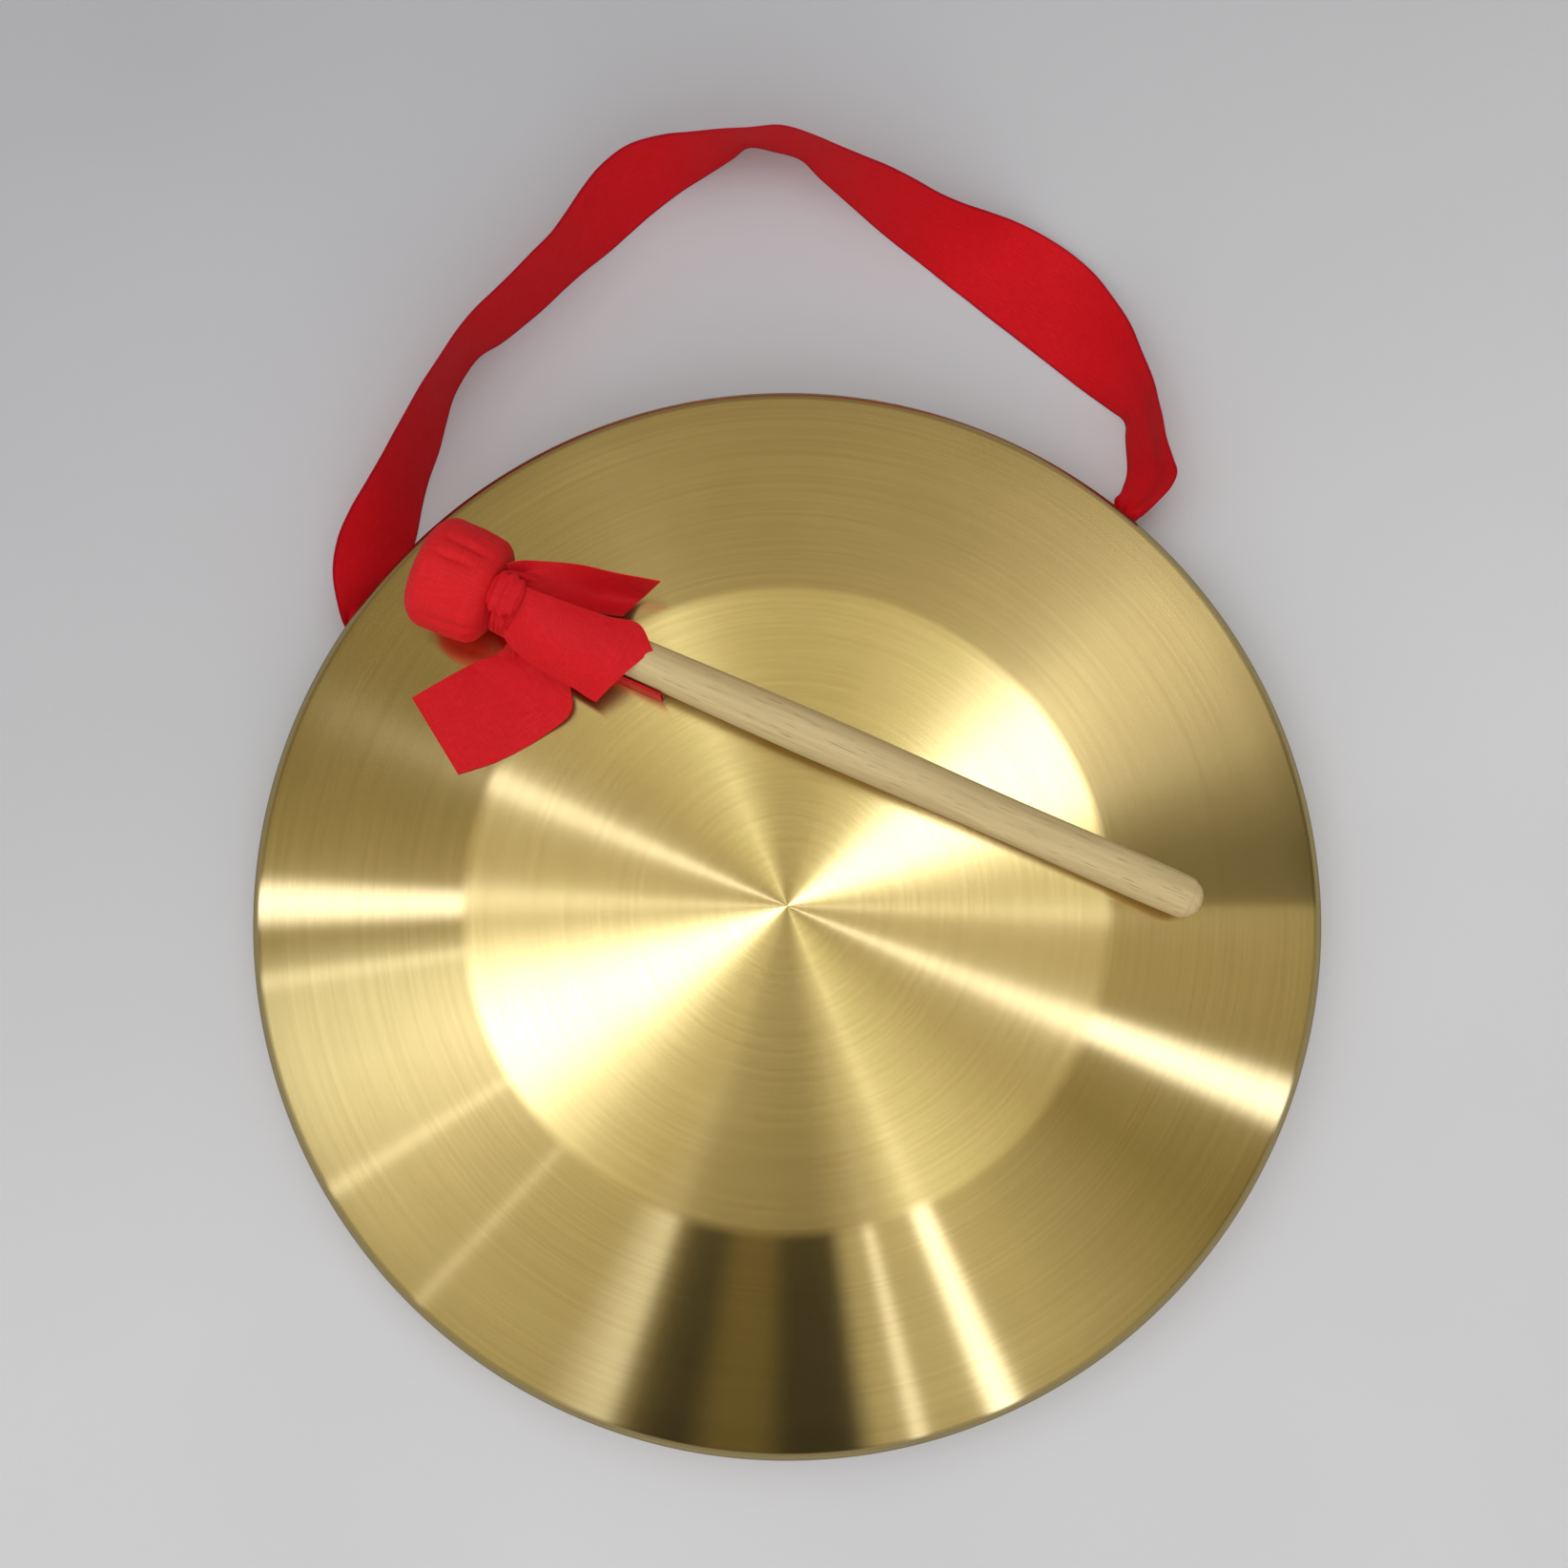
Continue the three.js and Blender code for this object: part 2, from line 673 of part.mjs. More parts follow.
const turnedPieces = new THREE.Group();
turnedPieces.position.set(0, beaterOffset, axisHeightAt(0));
turnedPieces.rotation.y = -Math.atan(beaterSlope);
turnedPieces.add(handleStick(), headWadding(), headCover(), neckBinding());

const beater = new THREE.Group();
beater.rotation.z = beaterAngle;
beater.add(turnedPieces, bowKnot(), edgeTail(), ...Object.keys(tails).map(tailMesh));

const pieces = new THREE.Group();
pieces.add(gongPlate(), knotMesh("left"), knotMesh("right"), strap, beater);

const footprint = new THREE.Box3().setFromObject(pieces, true);
const middle = footprint.getCenter(new THREE.Vector3());
pieces.position.set(-middle.x, -middle.y, 0);

const gongSet = new THREE.Group();
gongSet.add(pieces);

export default gongSet;
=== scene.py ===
# %% [markdown]
# # A hand gong with its ribbon strap and beater
# A hand gong is a dish of spun brass that hangs from a strap and is struck with a small beater.
# Here it lies face up, the strap is laid out beyond it and the beater rests across its face.
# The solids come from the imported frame. This lesson dresses them: it builds a finer surface
# for each piece, gives each one a finish made from nodes, and lights the set.

# %% Load the frame
import json
import math

import bmesh
import bpy
import numpy as np
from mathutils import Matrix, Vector


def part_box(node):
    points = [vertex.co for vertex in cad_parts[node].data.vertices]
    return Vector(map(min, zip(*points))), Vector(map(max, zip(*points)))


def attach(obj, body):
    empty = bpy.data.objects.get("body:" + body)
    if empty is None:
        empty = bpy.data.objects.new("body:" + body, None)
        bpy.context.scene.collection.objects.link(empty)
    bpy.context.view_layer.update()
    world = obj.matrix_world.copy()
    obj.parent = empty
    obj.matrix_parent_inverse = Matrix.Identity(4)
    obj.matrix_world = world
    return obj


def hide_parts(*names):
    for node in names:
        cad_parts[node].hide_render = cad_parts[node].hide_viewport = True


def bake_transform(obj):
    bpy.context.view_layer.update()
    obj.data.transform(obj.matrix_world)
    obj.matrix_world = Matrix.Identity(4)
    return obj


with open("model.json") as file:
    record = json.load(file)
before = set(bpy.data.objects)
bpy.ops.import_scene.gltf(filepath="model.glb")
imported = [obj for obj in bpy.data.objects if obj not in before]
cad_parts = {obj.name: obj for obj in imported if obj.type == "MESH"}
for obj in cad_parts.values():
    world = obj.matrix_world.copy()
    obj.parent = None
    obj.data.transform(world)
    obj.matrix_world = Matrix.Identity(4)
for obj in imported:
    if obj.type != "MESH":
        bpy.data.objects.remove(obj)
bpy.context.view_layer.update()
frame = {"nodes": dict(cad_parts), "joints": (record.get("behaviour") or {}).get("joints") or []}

# %% [markdown]
# ## Where everything is
# Blender works in metres, but the shapes below are worked out in millimetres and turned into
# metres when a mesh is made. The gong's middle, the strap's hinge and the beater's axis are read
# from the frame, so the dressed pieces sit where the solids are.

# %% Places read from the frame
MM = 0.001
UP = np.array([0.0, 0.0, 1.0])
LEVEL = np.array([1.0, 1.0, 0.0])

gong_low, gong_high = (np.array(corner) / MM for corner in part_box("gong_plate"))
GONG_MIDDLE = (gong_low + gong_high) / 2 * LEVEL
GONG_RADIUS = (gong_high[0] - gong_low[0]) / 2
FACE_HEIGHT = gong_high[2]

hinge = next(joint for joint in frame["joints"] if joint["name"] == "strap_swing")
HINGE_PLACE = np.array(hinge["pos_m"]) / MM
HINGE_AXIS = np.array(hinge["axis"]) / np.linalg.norm(hinge["axis"])
HINGE_OUT = np.cross(UP, HINGE_AXIS)

stick_points = np.array([v.co for v in frame["nodes"]["handle_stick"].data.vertices]) / MM
stick_middle = stick_points.mean(0)
STICK_AXIS = np.linalg.svd(stick_points - stick_middle, full_matrices=False)[2][0]
STICK_AXIS *= np.sign(STICK_AXIS[0])
level_share = np.hypot(STICK_AXIS[0], STICK_AXIS[1])
BEATER_ANGLE = math.atan2(STICK_AXIS[1], STICK_AXIS[0])
STICK_SIDE = np.array([-math.sin(BEATER_ANGLE), math.cos(BEATER_ANGLE), 0.0])
STICK_LIFT = np.cross(STICK_AXIS, STICK_SIDE)
to_nearest = (stick_middle - GONG_MIDDLE) @ (STICK_AXIS * LEVEL) / level_share ** 2
STICK_ZERO = stick_middle - STICK_AXIS * to_nearest
print("gong radius", round(GONG_RADIUS, 2), "beater angle", round(math.degrees(BEATER_ANGLE), 2))

# %% [markdown]
# ## Camera
# The photograph was taken from almost straight above, tipped back by about eight degrees.
# The view angle and the distance set how strongly near things look larger, so both are matched.

# %% Camera
PHOTO_PIXELS = 1644
FOCAL_PIXELS = 2212
CAMERA_TIP = 0.132
CAMERA_DISTANCE = 546.0
LOOK_AT = GONG_MIDDLE + np.array([-0.83, 31.6, FACE_HEIGHT])


def add_object(name, data):
    made = bpy.data.objects.new(name, data)
    bpy.context.scene.collection.objects.link(made)
    return made


camera_data = bpy.data.cameras.new("camera")
camera_data.sensor_fit = "HORIZONTAL"
camera_data.angle = 2 * math.atan(PHOTO_PIXELS / 2 / FOCAL_PIXELS)
camera_data.dof.use_dof = False
camera = add_object("camera", camera_data)
toward = np.array([0.0, math.sin(CAMERA_TIP), -math.cos(CAMERA_TIP)])
camera.location = Vector((LOOK_AT - toward * CAMERA_DISTANCE) * MM)
camera.rotation_euler = (CAMERA_TIP, 0.0, 0.0)
bpy.context.scene.camera = camera
bpy.context.scene.view_settings.view_transform = "Standard"
print("camera at", [round(x, 4) for x in camera.location])

# %% [markdown]
# ## A short way to write node trees
# Every finish is a small network of nodes. One helper adds a node, sets its options and fills its
# inputs: a number or colour goes on the socket, and another node's output is linked. The others
# stand for much used nodes.

# %% Node helpers
def fill(tree, node, values):
    for name, value in values.items():
        socket = node.inputs[name.replace("_", " ") if isinstance(name, str) else name]
        if isinstance(value, bpy.types.NodeSocket):
            tree.links.new(value, socket)
        else:
            socket.default_value = value
    return node


def add_node(tree, kind, inputs=None, **options):
    made = tree.nodes.new("ShaderNode" + kind)
    for name, value in options.items():
        setattr(made, name, value)
    return fill(tree, made, inputs or {})


def calculate(tree, operation, *values, kind="Math"):
    return add_node(tree, kind, dict(enumerate(values)), operation=operation).outputs[0]


def split(tree, vector):
    return add_node(tree, "SeparateXYZ", {0: vector}).outputs


def scaled(tree, vector, factor):
    return add_node(tree, "VectorMath", {0: vector, 3: factor}, operation="SCALE").outputs[0]


def flat_length(tree, x, y):
    squares = [calculate(tree, "MULTIPLY", side, side) for side in (x, y)]
    return calculate(tree, "SQRT", calculate(tree, "ADD", *squares))


def remap(tree, value, start, end, low, high):
    inputs = {"Value": value, "From Min": start, "From Max": end, "To Min": low, "To Max": high}
    return add_node(tree, "MapRange", inputs).outputs["Result"]


def noise(tree, place, scale, detail, **more):
    inputs = {"Vector": place, "Scale": scale, "Detail": detail, **more}
    return add_node(tree, "TexNoise", inputs).outputs[0]


def bumps(tree, height, distance, strength):
    inputs = {"Height": height, "Distance": distance, "Strength": strength}
    return add_node(tree, "Bump", inputs).outputs[0]


def blend_colors(tree, share, first, second):
    return add_node(tree, "Mix", {0: share, 6: first, 7: second}, data_type="RGBA").outputs[2]


def tint(tree, tone, color, value, start, end, most=1.0):
    """Blend a tone toward a colour as the value goes from start to end."""
    return blend_colors(tree, remap(tree, value, start, end, 0.0, most), tone, color)


# %% [markdown]
# A finish starts from the shader that a new material has. A pattern that takes many nodes goes
# into a group with inputs and outputs of its own.

# %% Finishes and node groups
def new_finish(name, **settings):
    finish = bpy.data.materials.new(name)
    finish.use_nodes = True
    tree = finish.node_tree
    return finish, tree, fill(tree, tree.nodes["Principled BSDF"], settings)


def new_group(name, entries, results, places=()):
    """Every socket carries one number, but a place has three."""
    group = bpy.data.node_groups.new(name, "ShaderNodeTree")
    for labels, in_out in ((places + entries, "INPUT"), (results, "OUTPUT")):
        for label in labels:
            kind = "NodeSocketVector" if label in places else "NodeSocketFloat"
            group.interface.new_socket(label, in_out=in_out, socket_type=kind)
    return group, group.nodes.new("NodeGroupInput").outputs


def close_group(group, **results):
    fill(group, group.nodes.new("NodeGroupOutput"), results)
    print(group.name, len(group.nodes), "nodes")
    return group


def use_group(tree, group, **inputs):
    return add_node(tree, "Group", inputs, node_tree=group).outputs


# %% [markdown]
# ## Mesh helpers
# Cloth, ribbon and turned pieces are all grids of points: rows along the piece, and points
# across or around it. One function turns such a grid into a mesh, and keeps two coordinates
# with each point, in millimetres along and across, so that a weave can follow the ribbon.

# %% Grid to mesh
def grid_piece(name, points, finish, flat_places, closed=False):
    rows, columns = points.shape[:2]
    faces = []
    for i in range(rows - 1):
        for j in range(columns if closed else columns - 1):
            near, far, k = i * columns, (i + 1) * columns, (j + 1) % columns
            faces.append((near + j, near + k, far + k, far + j))
    mesh = bpy.data.meshes.new(name)
    mesh.from_pydata((points.reshape(-1, 3) * MM).tolist(), [], faces)
    mesh.materials.append(finish)
    layer = mesh.uv_layers.new(name="threads")
    corner_ids = np.empty(len(mesh.loops), np.int32)
    mesh.loops.foreach_get("vertex_index", corner_ids)
    places = flat_places.reshape(-1, 2)[corner_ids]
    layer.uv.foreach_set("vector", places.astype(np.float32).ravel())
    mesh.shade_smooth()
    return add_object(name, mesh)


def apply_modifiers(piece):
    bpy.context.view_layer.update()
    graph = bpy.context.evaluated_depsgraph_get()
    finished = bpy.data.meshes.new_from_object(piece.evaluated_get(graph))
    piece.modifiers.clear()
    piece.data = finished


def close_ends(piece):
    made = bmesh.new()
    made.from_mesh(piece.data)
    bmesh.ops.holes_fill(made, edges=[edge for edge in made.edges if edge.is_boundary])
    bmesh.ops.recalc_face_normals(made, faces=made.faces)
    made.to_mesh(piece.data)
    made.free()
    return piece


# %% Rows, turns and lengths
def full_turn(count):
    return np.linspace(0, 2 * math.pi, count, endpoint=False)


def lengths_along(line):
    steps = np.linalg.norm(np.diff(line, axis=0), axis=1)
    return np.concatenate([[0.0], np.cumsum(steps)])


def thread_places(across, along):
    return np.stack(np.broadcast_arrays(across, along), -1)


# %% [markdown]
# ## Floor
# The set lies on a plain pale sheet, much wider than the view. Painted shade in its colour makes it
# darker toward the far left and lighter toward the near right, and a very faint mottling keeps it
# from looking like plastic.

# %% Floor
FLOOR_HALF = 6.0
paper, tree, shader = new_finish("pale_sheet", Roughness=0.85, Specular_IOR_Level=0.2)
place = add_node(tree, "TexCoord").outputs["Object"]
x, y, _ = split(tree, place)
# Painted shade: the sheet's colour darkens toward the far left, where the room gives it less light.
painted_shade_slant = calculate(tree, "SUBTRACT", calculate(tree, "MULTIPLY", x, 0.45), y)
tone = tint(tree, (0.435, 0.43, 0.435, 1), (0.66, 0.645, 0.64, 1), painted_shade_slant, -0.28, 0.08)
tone = tint(tree, tone, (0.55, 0.54, 0.55, 1), noise(tree, place, 5.0, 3.0), 0.35, 0.65, 0.3)
fill(tree, shader, {"Base Color": tone})
floor_mesh = bpy.data.meshes.new("floor")
corners = [(x * FLOOR_HALF, y * FLOOR_HALF, 0) for x, y in ((-1, -1), (1, -1), (1, 1), (-1, 1))]
floor_mesh.from_pydata(corners, [], [(0, 1, 2, 3)])
floor_mesh.materials.append(paper)
floor = add_object("floor", floor_mesh)
print("floor:", 2 * FLOOR_HALF, "metres wide")

# %% [markdown]
# ## Light
# Brushed metal shows the room round it as a fan. A scratch that runs in a circle spreads light
# outward and inward only, so each spoke of the gong mirrors a narrow slice of the room that lies
# the same way round. The flat middle mirrors what is overhead and the slope what is lower down.
# So the room is painted by compass direction, once for overhead and once for the walls. The
# compass turns about the place overhead where the flat middle mirrors the photographer. Dim parts
# are warm and bright ones cool. Near the horizon all is plain pale grey, for low views.

# %% Room helpers
RAMP_SCALE = 6.0


def room_color(angle, brightness, least_blue, blue_rise, north_blue):
    green = min(max(0.78 + 0.3 * brightness, 0.8), 1.06)
    northward = max(math.sin(math.radians(angle)), 0.0)
    blue = min(least_blue + blue_rise * brightness + north_blue * northward, 1.3)
    return [brightness * share / RAMP_SCALE for share in (1.0, green, blue)] + [1.0]


def compass_ramp(tree, turn, stops, *blues):
    ramp = add_node(tree, "ValToRGB", {0: turn})
    elements = ramp.color_ramp.elements
    elements.remove(elements[1])
    for i, (angle, brightness) in enumerate(stops):
        stop = elements.new(angle / 360) if i else elements[0]
        stop.position = angle / 360
        stop.color = room_color(angle, brightness, *blues)
    return ramp.outputs[0]


def thin_lines(tree, turn, lines):
    """Lines of light, each with its angle, half width in degrees and brightness."""
    total = 0.0
    for angle, half_width, brightness in lines:
        away = calculate(tree, "ABSOLUTE", calculate(tree, "SUBTRACT", turn, angle / 360))
        line = remap(tree, away, half_width * 0.3 / 360, half_width / 360, brightness, 0.0)
        total = calculate(tree, "ADD", total, line)
    return total


face_middle = GONG_MIDDLE + UP * FACE_HEIGHT
to_camera = np.array(camera.location) / MM - face_middle
MIRRORED = -to_camera / np.linalg.norm(to_camera)
print("the flat middle mirrors the camera from", [round(float(x), 3) for x in MIRRORED[:2]])

# %% [markdown]
# Each stop is an angle, counted from the right and against the clock, and a brightness. Two broad
# lamps hang overhead, right and left of the gong, and the walls are darkest in front.

# %% Stops and lines of the room
overhead_stops = [
    (0, .8), (8, .64), (13, 1.15), (20, 3.3), (38, 3.7), (46, 1.65), (54, .95), (66, .76),
    (78, .68), (92, .66), (104, .78), (113, 1.25), (122, .8), (138, .55), (150, .42), (164, .51),
    (174, .55), (184, .7), (189, 1.5), (196, 3.3), (204, 4.1), (212, 3.6), (222, 1.35),
    (232, .66), (244, .46), (262, .25), (274, .215), (284, .33), (293, 1.12), (304, .88),
    (322, .5), (345, .48)]
wall_stops = [
    (0, .1), (8, .1), (16, .18), (24, .37), (33, .6), (41, .65), (50, .56), (66, .43),
    (90, .38), (115, .35), (150, .27), (165, .28), (175, .39), (184, .36), (190, .93),
    (200, .94), (214, .56), (228, .58), (243, .55), (250, 1.15), (252, .16), (255, .01),
    (259, 0), (262, .13), (267, .13), (270, .006), (277, 0), (280, .62), (290, .64),
    (302, .56), (325, .26), (348, .42)]
overhead_lines = [(157, 3.2, 2.1), (338, 3.4, 2.1), (178, 3, .9), (358.5, 3, .85)]
wall_lines = [(179.7, 3, 1.9), (188.3, 1.4, .5), (212, 1.2, .5), (227, .9, .35), (284, 1.3, .9),
              (293.5, 2.4, 1.9), (338.3, 3.4, 2)]
print("room:", len(overhead_stops), "stops overhead,", len(wall_stops), "on the walls")

# %% Room
world = bpy.data.worlds.new("room")
bpy.context.scene.world = world
world.use_nodes = True
tree = world.node_tree
x, y, _ = split(tree, add_node(tree, "TexCoord").outputs["Generated"])
east = calculate(tree, "SUBTRACT", x, float(MIRRORED[0]))
north = calculate(tree, "SUBTRACT", y, float(MIRRORED[1]))
turn = calculate(tree, "DIVIDE", calculate(tree, "ARCTAN2", north, east), 2 * math.pi)
turn = calculate(tree, "FRACT", calculate(tree, "ADD", turn, 1.0))
reach = flat_length(tree, east, north)
ceiling = compass_ramp(tree, turn, overhead_stops, 0.45, 0.5, 0.0)
walls = compass_ramp(tree, turn, wall_stops, 0.2, 1.0, 0.13)
walls = scaled(tree, walls, remap(tree, reach, 0.42, 0.7, 1.0, 0.6))
low = remap(tree, reach, 0.29, 0.33, 0.0, 1.0)
base = scaled(tree, blend_colors(tree, low, ceiling, walls), RAMP_SCALE)
tubes = [thin_lines(tree, turn, lines) for lines in (overhead_lines, wall_lines)]
tubes = add_node(tree, "Mix", {0: low, 2: tubes[0], 3: tubes[1]}, data_type="FLOAT").outputs[0]
light = calculate(tree, "ADD", base, scaled(tree, (1.0, 1.12, 1.7), tubes), kind="VectorMath")
light = tint(tree, light, (0.42, 0.415, 0.41, 1), reach, 0.86, 0.94)
fill(tree, tree.nodes["Background"], {"Color": light})
print("room:", len(tree.nodes), "nodes")

# %% [markdown]
# The room alone leaves the floor a little dim. One broad lamp overhead adds soft light, and one
# low in front lights the strap, which leans toward it. Both are kept out of mirror reflections,
# so they draw no spots on the brass.

# %% Fill lamps
def soft_lamp(name, place, width, brightness, color):
    """A square lamp that looks at the gong's middle. Place and width in metres."""
    lamp = bpy.data.lights.new(name, "AREA")
    lamp.size = width
    lamp.energy = brightness * math.pi * width ** 2
    lamp.color = color
    made = add_object(name, lamp)
    made.location = Vector(place)
    aim = Vector(face_middle * MM) - made.location
    made.rotation_euler = aim.to_track_quat("-Z", "Y").to_euler()
    made.visible_camera = False
    made.visible_glossy = False
    print(name, round(lamp.energy, 1), "watts")


soft_lamp("fill_above", (-0.3, 0.2, 2.4), 3.0, 1.02, (0.93, 0.97, 1.0))
soft_lamp("fill_in_front", (0.0, -2.3, 1.7), 2.4, 1.6, (0.97, 0.98, 1.0))

# %% [markdown]
# ## Brushed brass
# The gong is turned and brushed on a lathe, so its scratches run in circles. Light spreads across
# scratches much more than along them, which draws each lamp out into a bright line through the
# middle. Anisotropy does that: the tangent follows the circles. Two shaders are mixed, nearly all
# of a sharp one for the lines and a trace of a softer one for haze. Fine rings in the colour and
# the bump show the scratches, and a slow mottling stands for handling marks.

# %% Ring coordinates: how far out, and which way round
def make_ring_group():
    group, entries = new_group("ring_scratches", ("Ring Width",),
                               ("Scratch", "Mottle", "Distance"), places=("Middle",))
    source = add_node(group, "TexCoord").outputs["Object"]
    away = calculate(group, "SUBTRACT", source, entries["Middle"], kind="VectorMath")
    x, y, z = split(group, away)
    distance = flat_length(group, x, y)
    flat = add_node(group, "CombineXYZ", {0: x, 1: y}).outputs[0]
    around = scaled(group, calculate(group, "NORMALIZE", flat, kind="VectorMath"), 1.6)
    outward = calculate(group, "ADD", distance, calculate(group, "MULTIPLY", z, -0.6))
    rings = calculate(group, "DIVIDE", outward, entries["Ring Width"])
    lifted = add_node(group, "CombineXYZ", {2: rings}).outputs[0]
    place = calculate(group, "ADD", around, lifted, kind="VectorMath")
    return close_group(group, Scratch=noise(group, place, 1.0, 3.0, Roughness=0.6),
                       Mottle=noise(group, away, 38.0, 2.0), Distance=distance)


RINGS = make_ring_group()

# %% Brass finish
brass, tree, shader = new_finish("brushed_brass", Metallic=1.0, Anisotropic=0.9,
                                 Anisotropic_Rotation=0.25)
rings = use_group(tree, RINGS, Middle=tuple(GONG_MIDDLE * MM), Ring_Width=0.0009)
scratch, mottle = rings["Scratch"], rings["Mottle"]
tone = tint(tree, (0.8, 0.6, 0.235, 1), (0.87, 0.665, 0.27, 1), scratch, 0.3, 0.7)
# Painted shade: a dark band in the colour on the rounded bend of the rim, where the surface turns
# away from the light.
tone = tint(tree, tone, (0.2, 0.19, 0.13, 1), rings["Distance"], 0.1372, 0.1392, 0.75)
tone = tint(tree, tone, (0.6, 0.42, 0.17, 1), mottle, 0.42, 0.62, 0.1)
gloss = calculate(tree, "ADD", remap(tree, scratch, 0.3, 0.7, 0.34, 0.32),
                  remap(tree, mottle, 0.3, 0.7, -0.01, 0.02))
shared = {"Normal": bumps(tree, scratch, 0.0000026, 0.3),
          "Tangent": add_node(tree, "Tangent", direction_type="RADIAL", axis="Z").outputs[0]}
fill(tree, shader, {"Base Color": tone, "Roughness": gloss, **shared})
streaks = add_node(tree, "BsdfAnisotropic", distribution="GGX")
fill(tree, streaks, {"Color": tone, "Roughness": 0.138, "Anisotropy": 0.78, **shared})
inputs = {0: 0.98, 1: shader.outputs[0], 2: streaks.outputs[0]}
mixed = add_node(tree, "MixShader", inputs).outputs[0]
fill(tree, tree.nodes["Material Output"], {"Surface": mixed})
print("brass:", len(tree.nodes), "nodes")

# %% [markdown]
# ## Gong plate
# A spinner forms a gong from one sheet over a wooden former, then turns back the rim. The
# surface is the same line turned about one axis, so it is built by turning an outline. The frame
# has it with 96 sides. Lines of light show every facet on bright metal, so this one has many
# more, and the two cord holes are cut through it afterwards.

# %% Gong outline
FLAT_RADIUS = 83.0
RIM_DEPTH = 22.0
SHEET = 1.3
BEND_RADIUS = 3.5
SHOULDER_RADIUS = 25.0
RIM_LEAN = math.radians(10.7)
FOOT_ROUNDING = 0.3
GONG_SIDES = 480

bend_centre = np.array([GONG_RADIUS - BEND_RADIUS, RIM_DEPTH - BEND_RADIUS])
to_bend = bend_centre - [FLAT_RADIUS, FACE_HEIGHT]
FACE_SLOPE = math.atan2(-to_bend[1], to_bend[0]) - math.asin(BEND_RADIUS / np.hypot(*to_bend))
shoulder_centre = np.array([FLAT_RADIUS - SHOULDER_RADIUS * math.tan(FACE_SLOPE / 2),
                            FACE_HEIGHT - SHOULDER_RADIUS])


def arc(centre, radius, start, end, steps):
    angles = np.linspace(start, end, steps + 1)
    return centre + radius * np.stack([np.cos(angles), np.sin(angles)], 1)


def shell_line(inset):
    quarter = math.pi / 2
    shoulder = arc(shoulder_centre, SHOULDER_RADIUS - inset, quarter, quarter - FACE_SLOPE, 8)
    bend = arc(bend_centre, BEND_RADIUS - inset, quarter - FACE_SLOPE, -RIM_LEAN, 14)
    foot = np.array([bend[-1][0] - bend[-1][1] * math.tan(RIM_LEAN), 0.0])
    flat = [[radius, FACE_HEIGHT - inset] for radius in (0.0, 10.0, 30.0, 55.0)]
    slope = np.linspace(shoulder[-1], bend[0], 8)[1:-1]
    return np.vstack([flat, shoulder, slope, bend, foot])


outer = shell_line(0.0)
inner = shell_line(SHEET)
wall = np.array([math.sin(RIM_LEAN), math.cos(RIM_LEAN)])
rounded_foot = [outer[-1] + wall * FOOT_ROUNDING, outer[-1] - [FOOT_ROUNDING, 0.0],
                inner[-1] + [FOOT_ROUNDING, 0.0], inner[-1] + wall * FOOT_ROUNDING]
gong_outline = np.vstack([outer[:-1], rounded_foot, inner[-2::-1]])
print("gong outline points:", len(gong_outline), "slope:", round(math.degrees(FACE_SLOPE), 2))

# %% Turn the outline
made = bmesh.new()
loops = []
for radius, height in gong_outline:
    if radius == 0:
        loops.append([made.verts.new((0, 0, height))] * GONG_SIDES)
    else:
        loops.append([made.verts.new((radius * math.cos(a), radius * math.sin(a), height))
                      for a in full_turn(GONG_SIDES)])
for before, after in zip(loops, loops[1:]):
    for j in range(GONG_SIDES):
        k = (j + 1) % GONG_SIDES
        corners = list(dict.fromkeys([before[k], before[j], after[j], after[k]]))
        if len(corners) > 2:
            made.faces.new(corners)
gong_mesh = bpy.data.meshes.new("gong")
made.to_mesh(gong_mesh)
made.free()
gong_mesh.materials.append(brass)
gong = add_object("gong", gong_mesh)
print("gong:", len(gong_mesh.polygons), "faces")

# %% [markdown]
# The strap passes through two drilled holes in the rim. A boolean cuts each one with a round
# drill that points at the gong's middle. The drill is then thrown away.

# %% Cord holes
HOLE_RADIUS = 2.6
HOLE_HEIGHT = 11.0
DRILL_LENGTH = 12.0
HOLE_ANGLES = {"left": math.radians(147.5), "right": math.radians(49.5)}
HOLE_SPOKES = {side: np.array([math.cos(angle), math.sin(angle), 0.0])
               for side, angle in HOLE_ANGLES.items()}
HOLE_RIM = outer[-1][0] + HOLE_HEIGHT * math.tan(RIM_LEAN)


def on_hole_axis(side, reach):
    """A place on a hole's axis, so many millimetres outside the rim."""
    return HOLE_SPOKES[side] * (HOLE_RIM + reach) + UP * HOLE_HEIGHT


for side, angle in HOLE_ANGLES.items():
    drill_mesh = bpy.data.meshes.new("drill_" + side)
    made = bmesh.new()
    bmesh.ops.create_cone(made, cap_ends=True, segments=40, radius1=HOLE_RADIUS,
                          radius2=HOLE_RADIUS, depth=DRILL_LENGTH)
    made.to_mesh(drill_mesh)
    made.free()
    drill = add_object("drill_" + side, drill_mesh)
    drill.rotation_euler = (0.0, math.pi / 2, angle)
    drill.location = Vector(on_hole_axis(side, 0.0))
    cut = gong.modifiers.new("cord_hole_" + side, "BOOLEAN")
    cut.operation = "DIFFERENCE"
    cut.solver = "EXACT"
    cut.object = drill
    apply_modifiers(gong)
    bpy.data.objects.remove(drill)
points = np.array([v.co for v in gong.data.vertices])
points = ((points + GONG_MIDDLE) * MM).astype(np.float32)
gong.data.vertices.foreach_set("co", points.ravel())
gong.data.shade_smooth()
gong.data.set_sharp_from_angle(angle=math.radians(35))
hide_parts("gong_plate")
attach(gong, "gong")
print("gong:", len(gong.data.vertices), "points")

# %% [markdown]
# ## Red cloth and ribbon
# The strap, the bow and the beater's cover are all plain red weave, so one node group makes the
# threads for all of them. It draws threads both ways from the ribbon's own coordinates, with
# slubs, which are places where a thread is a little thicker.

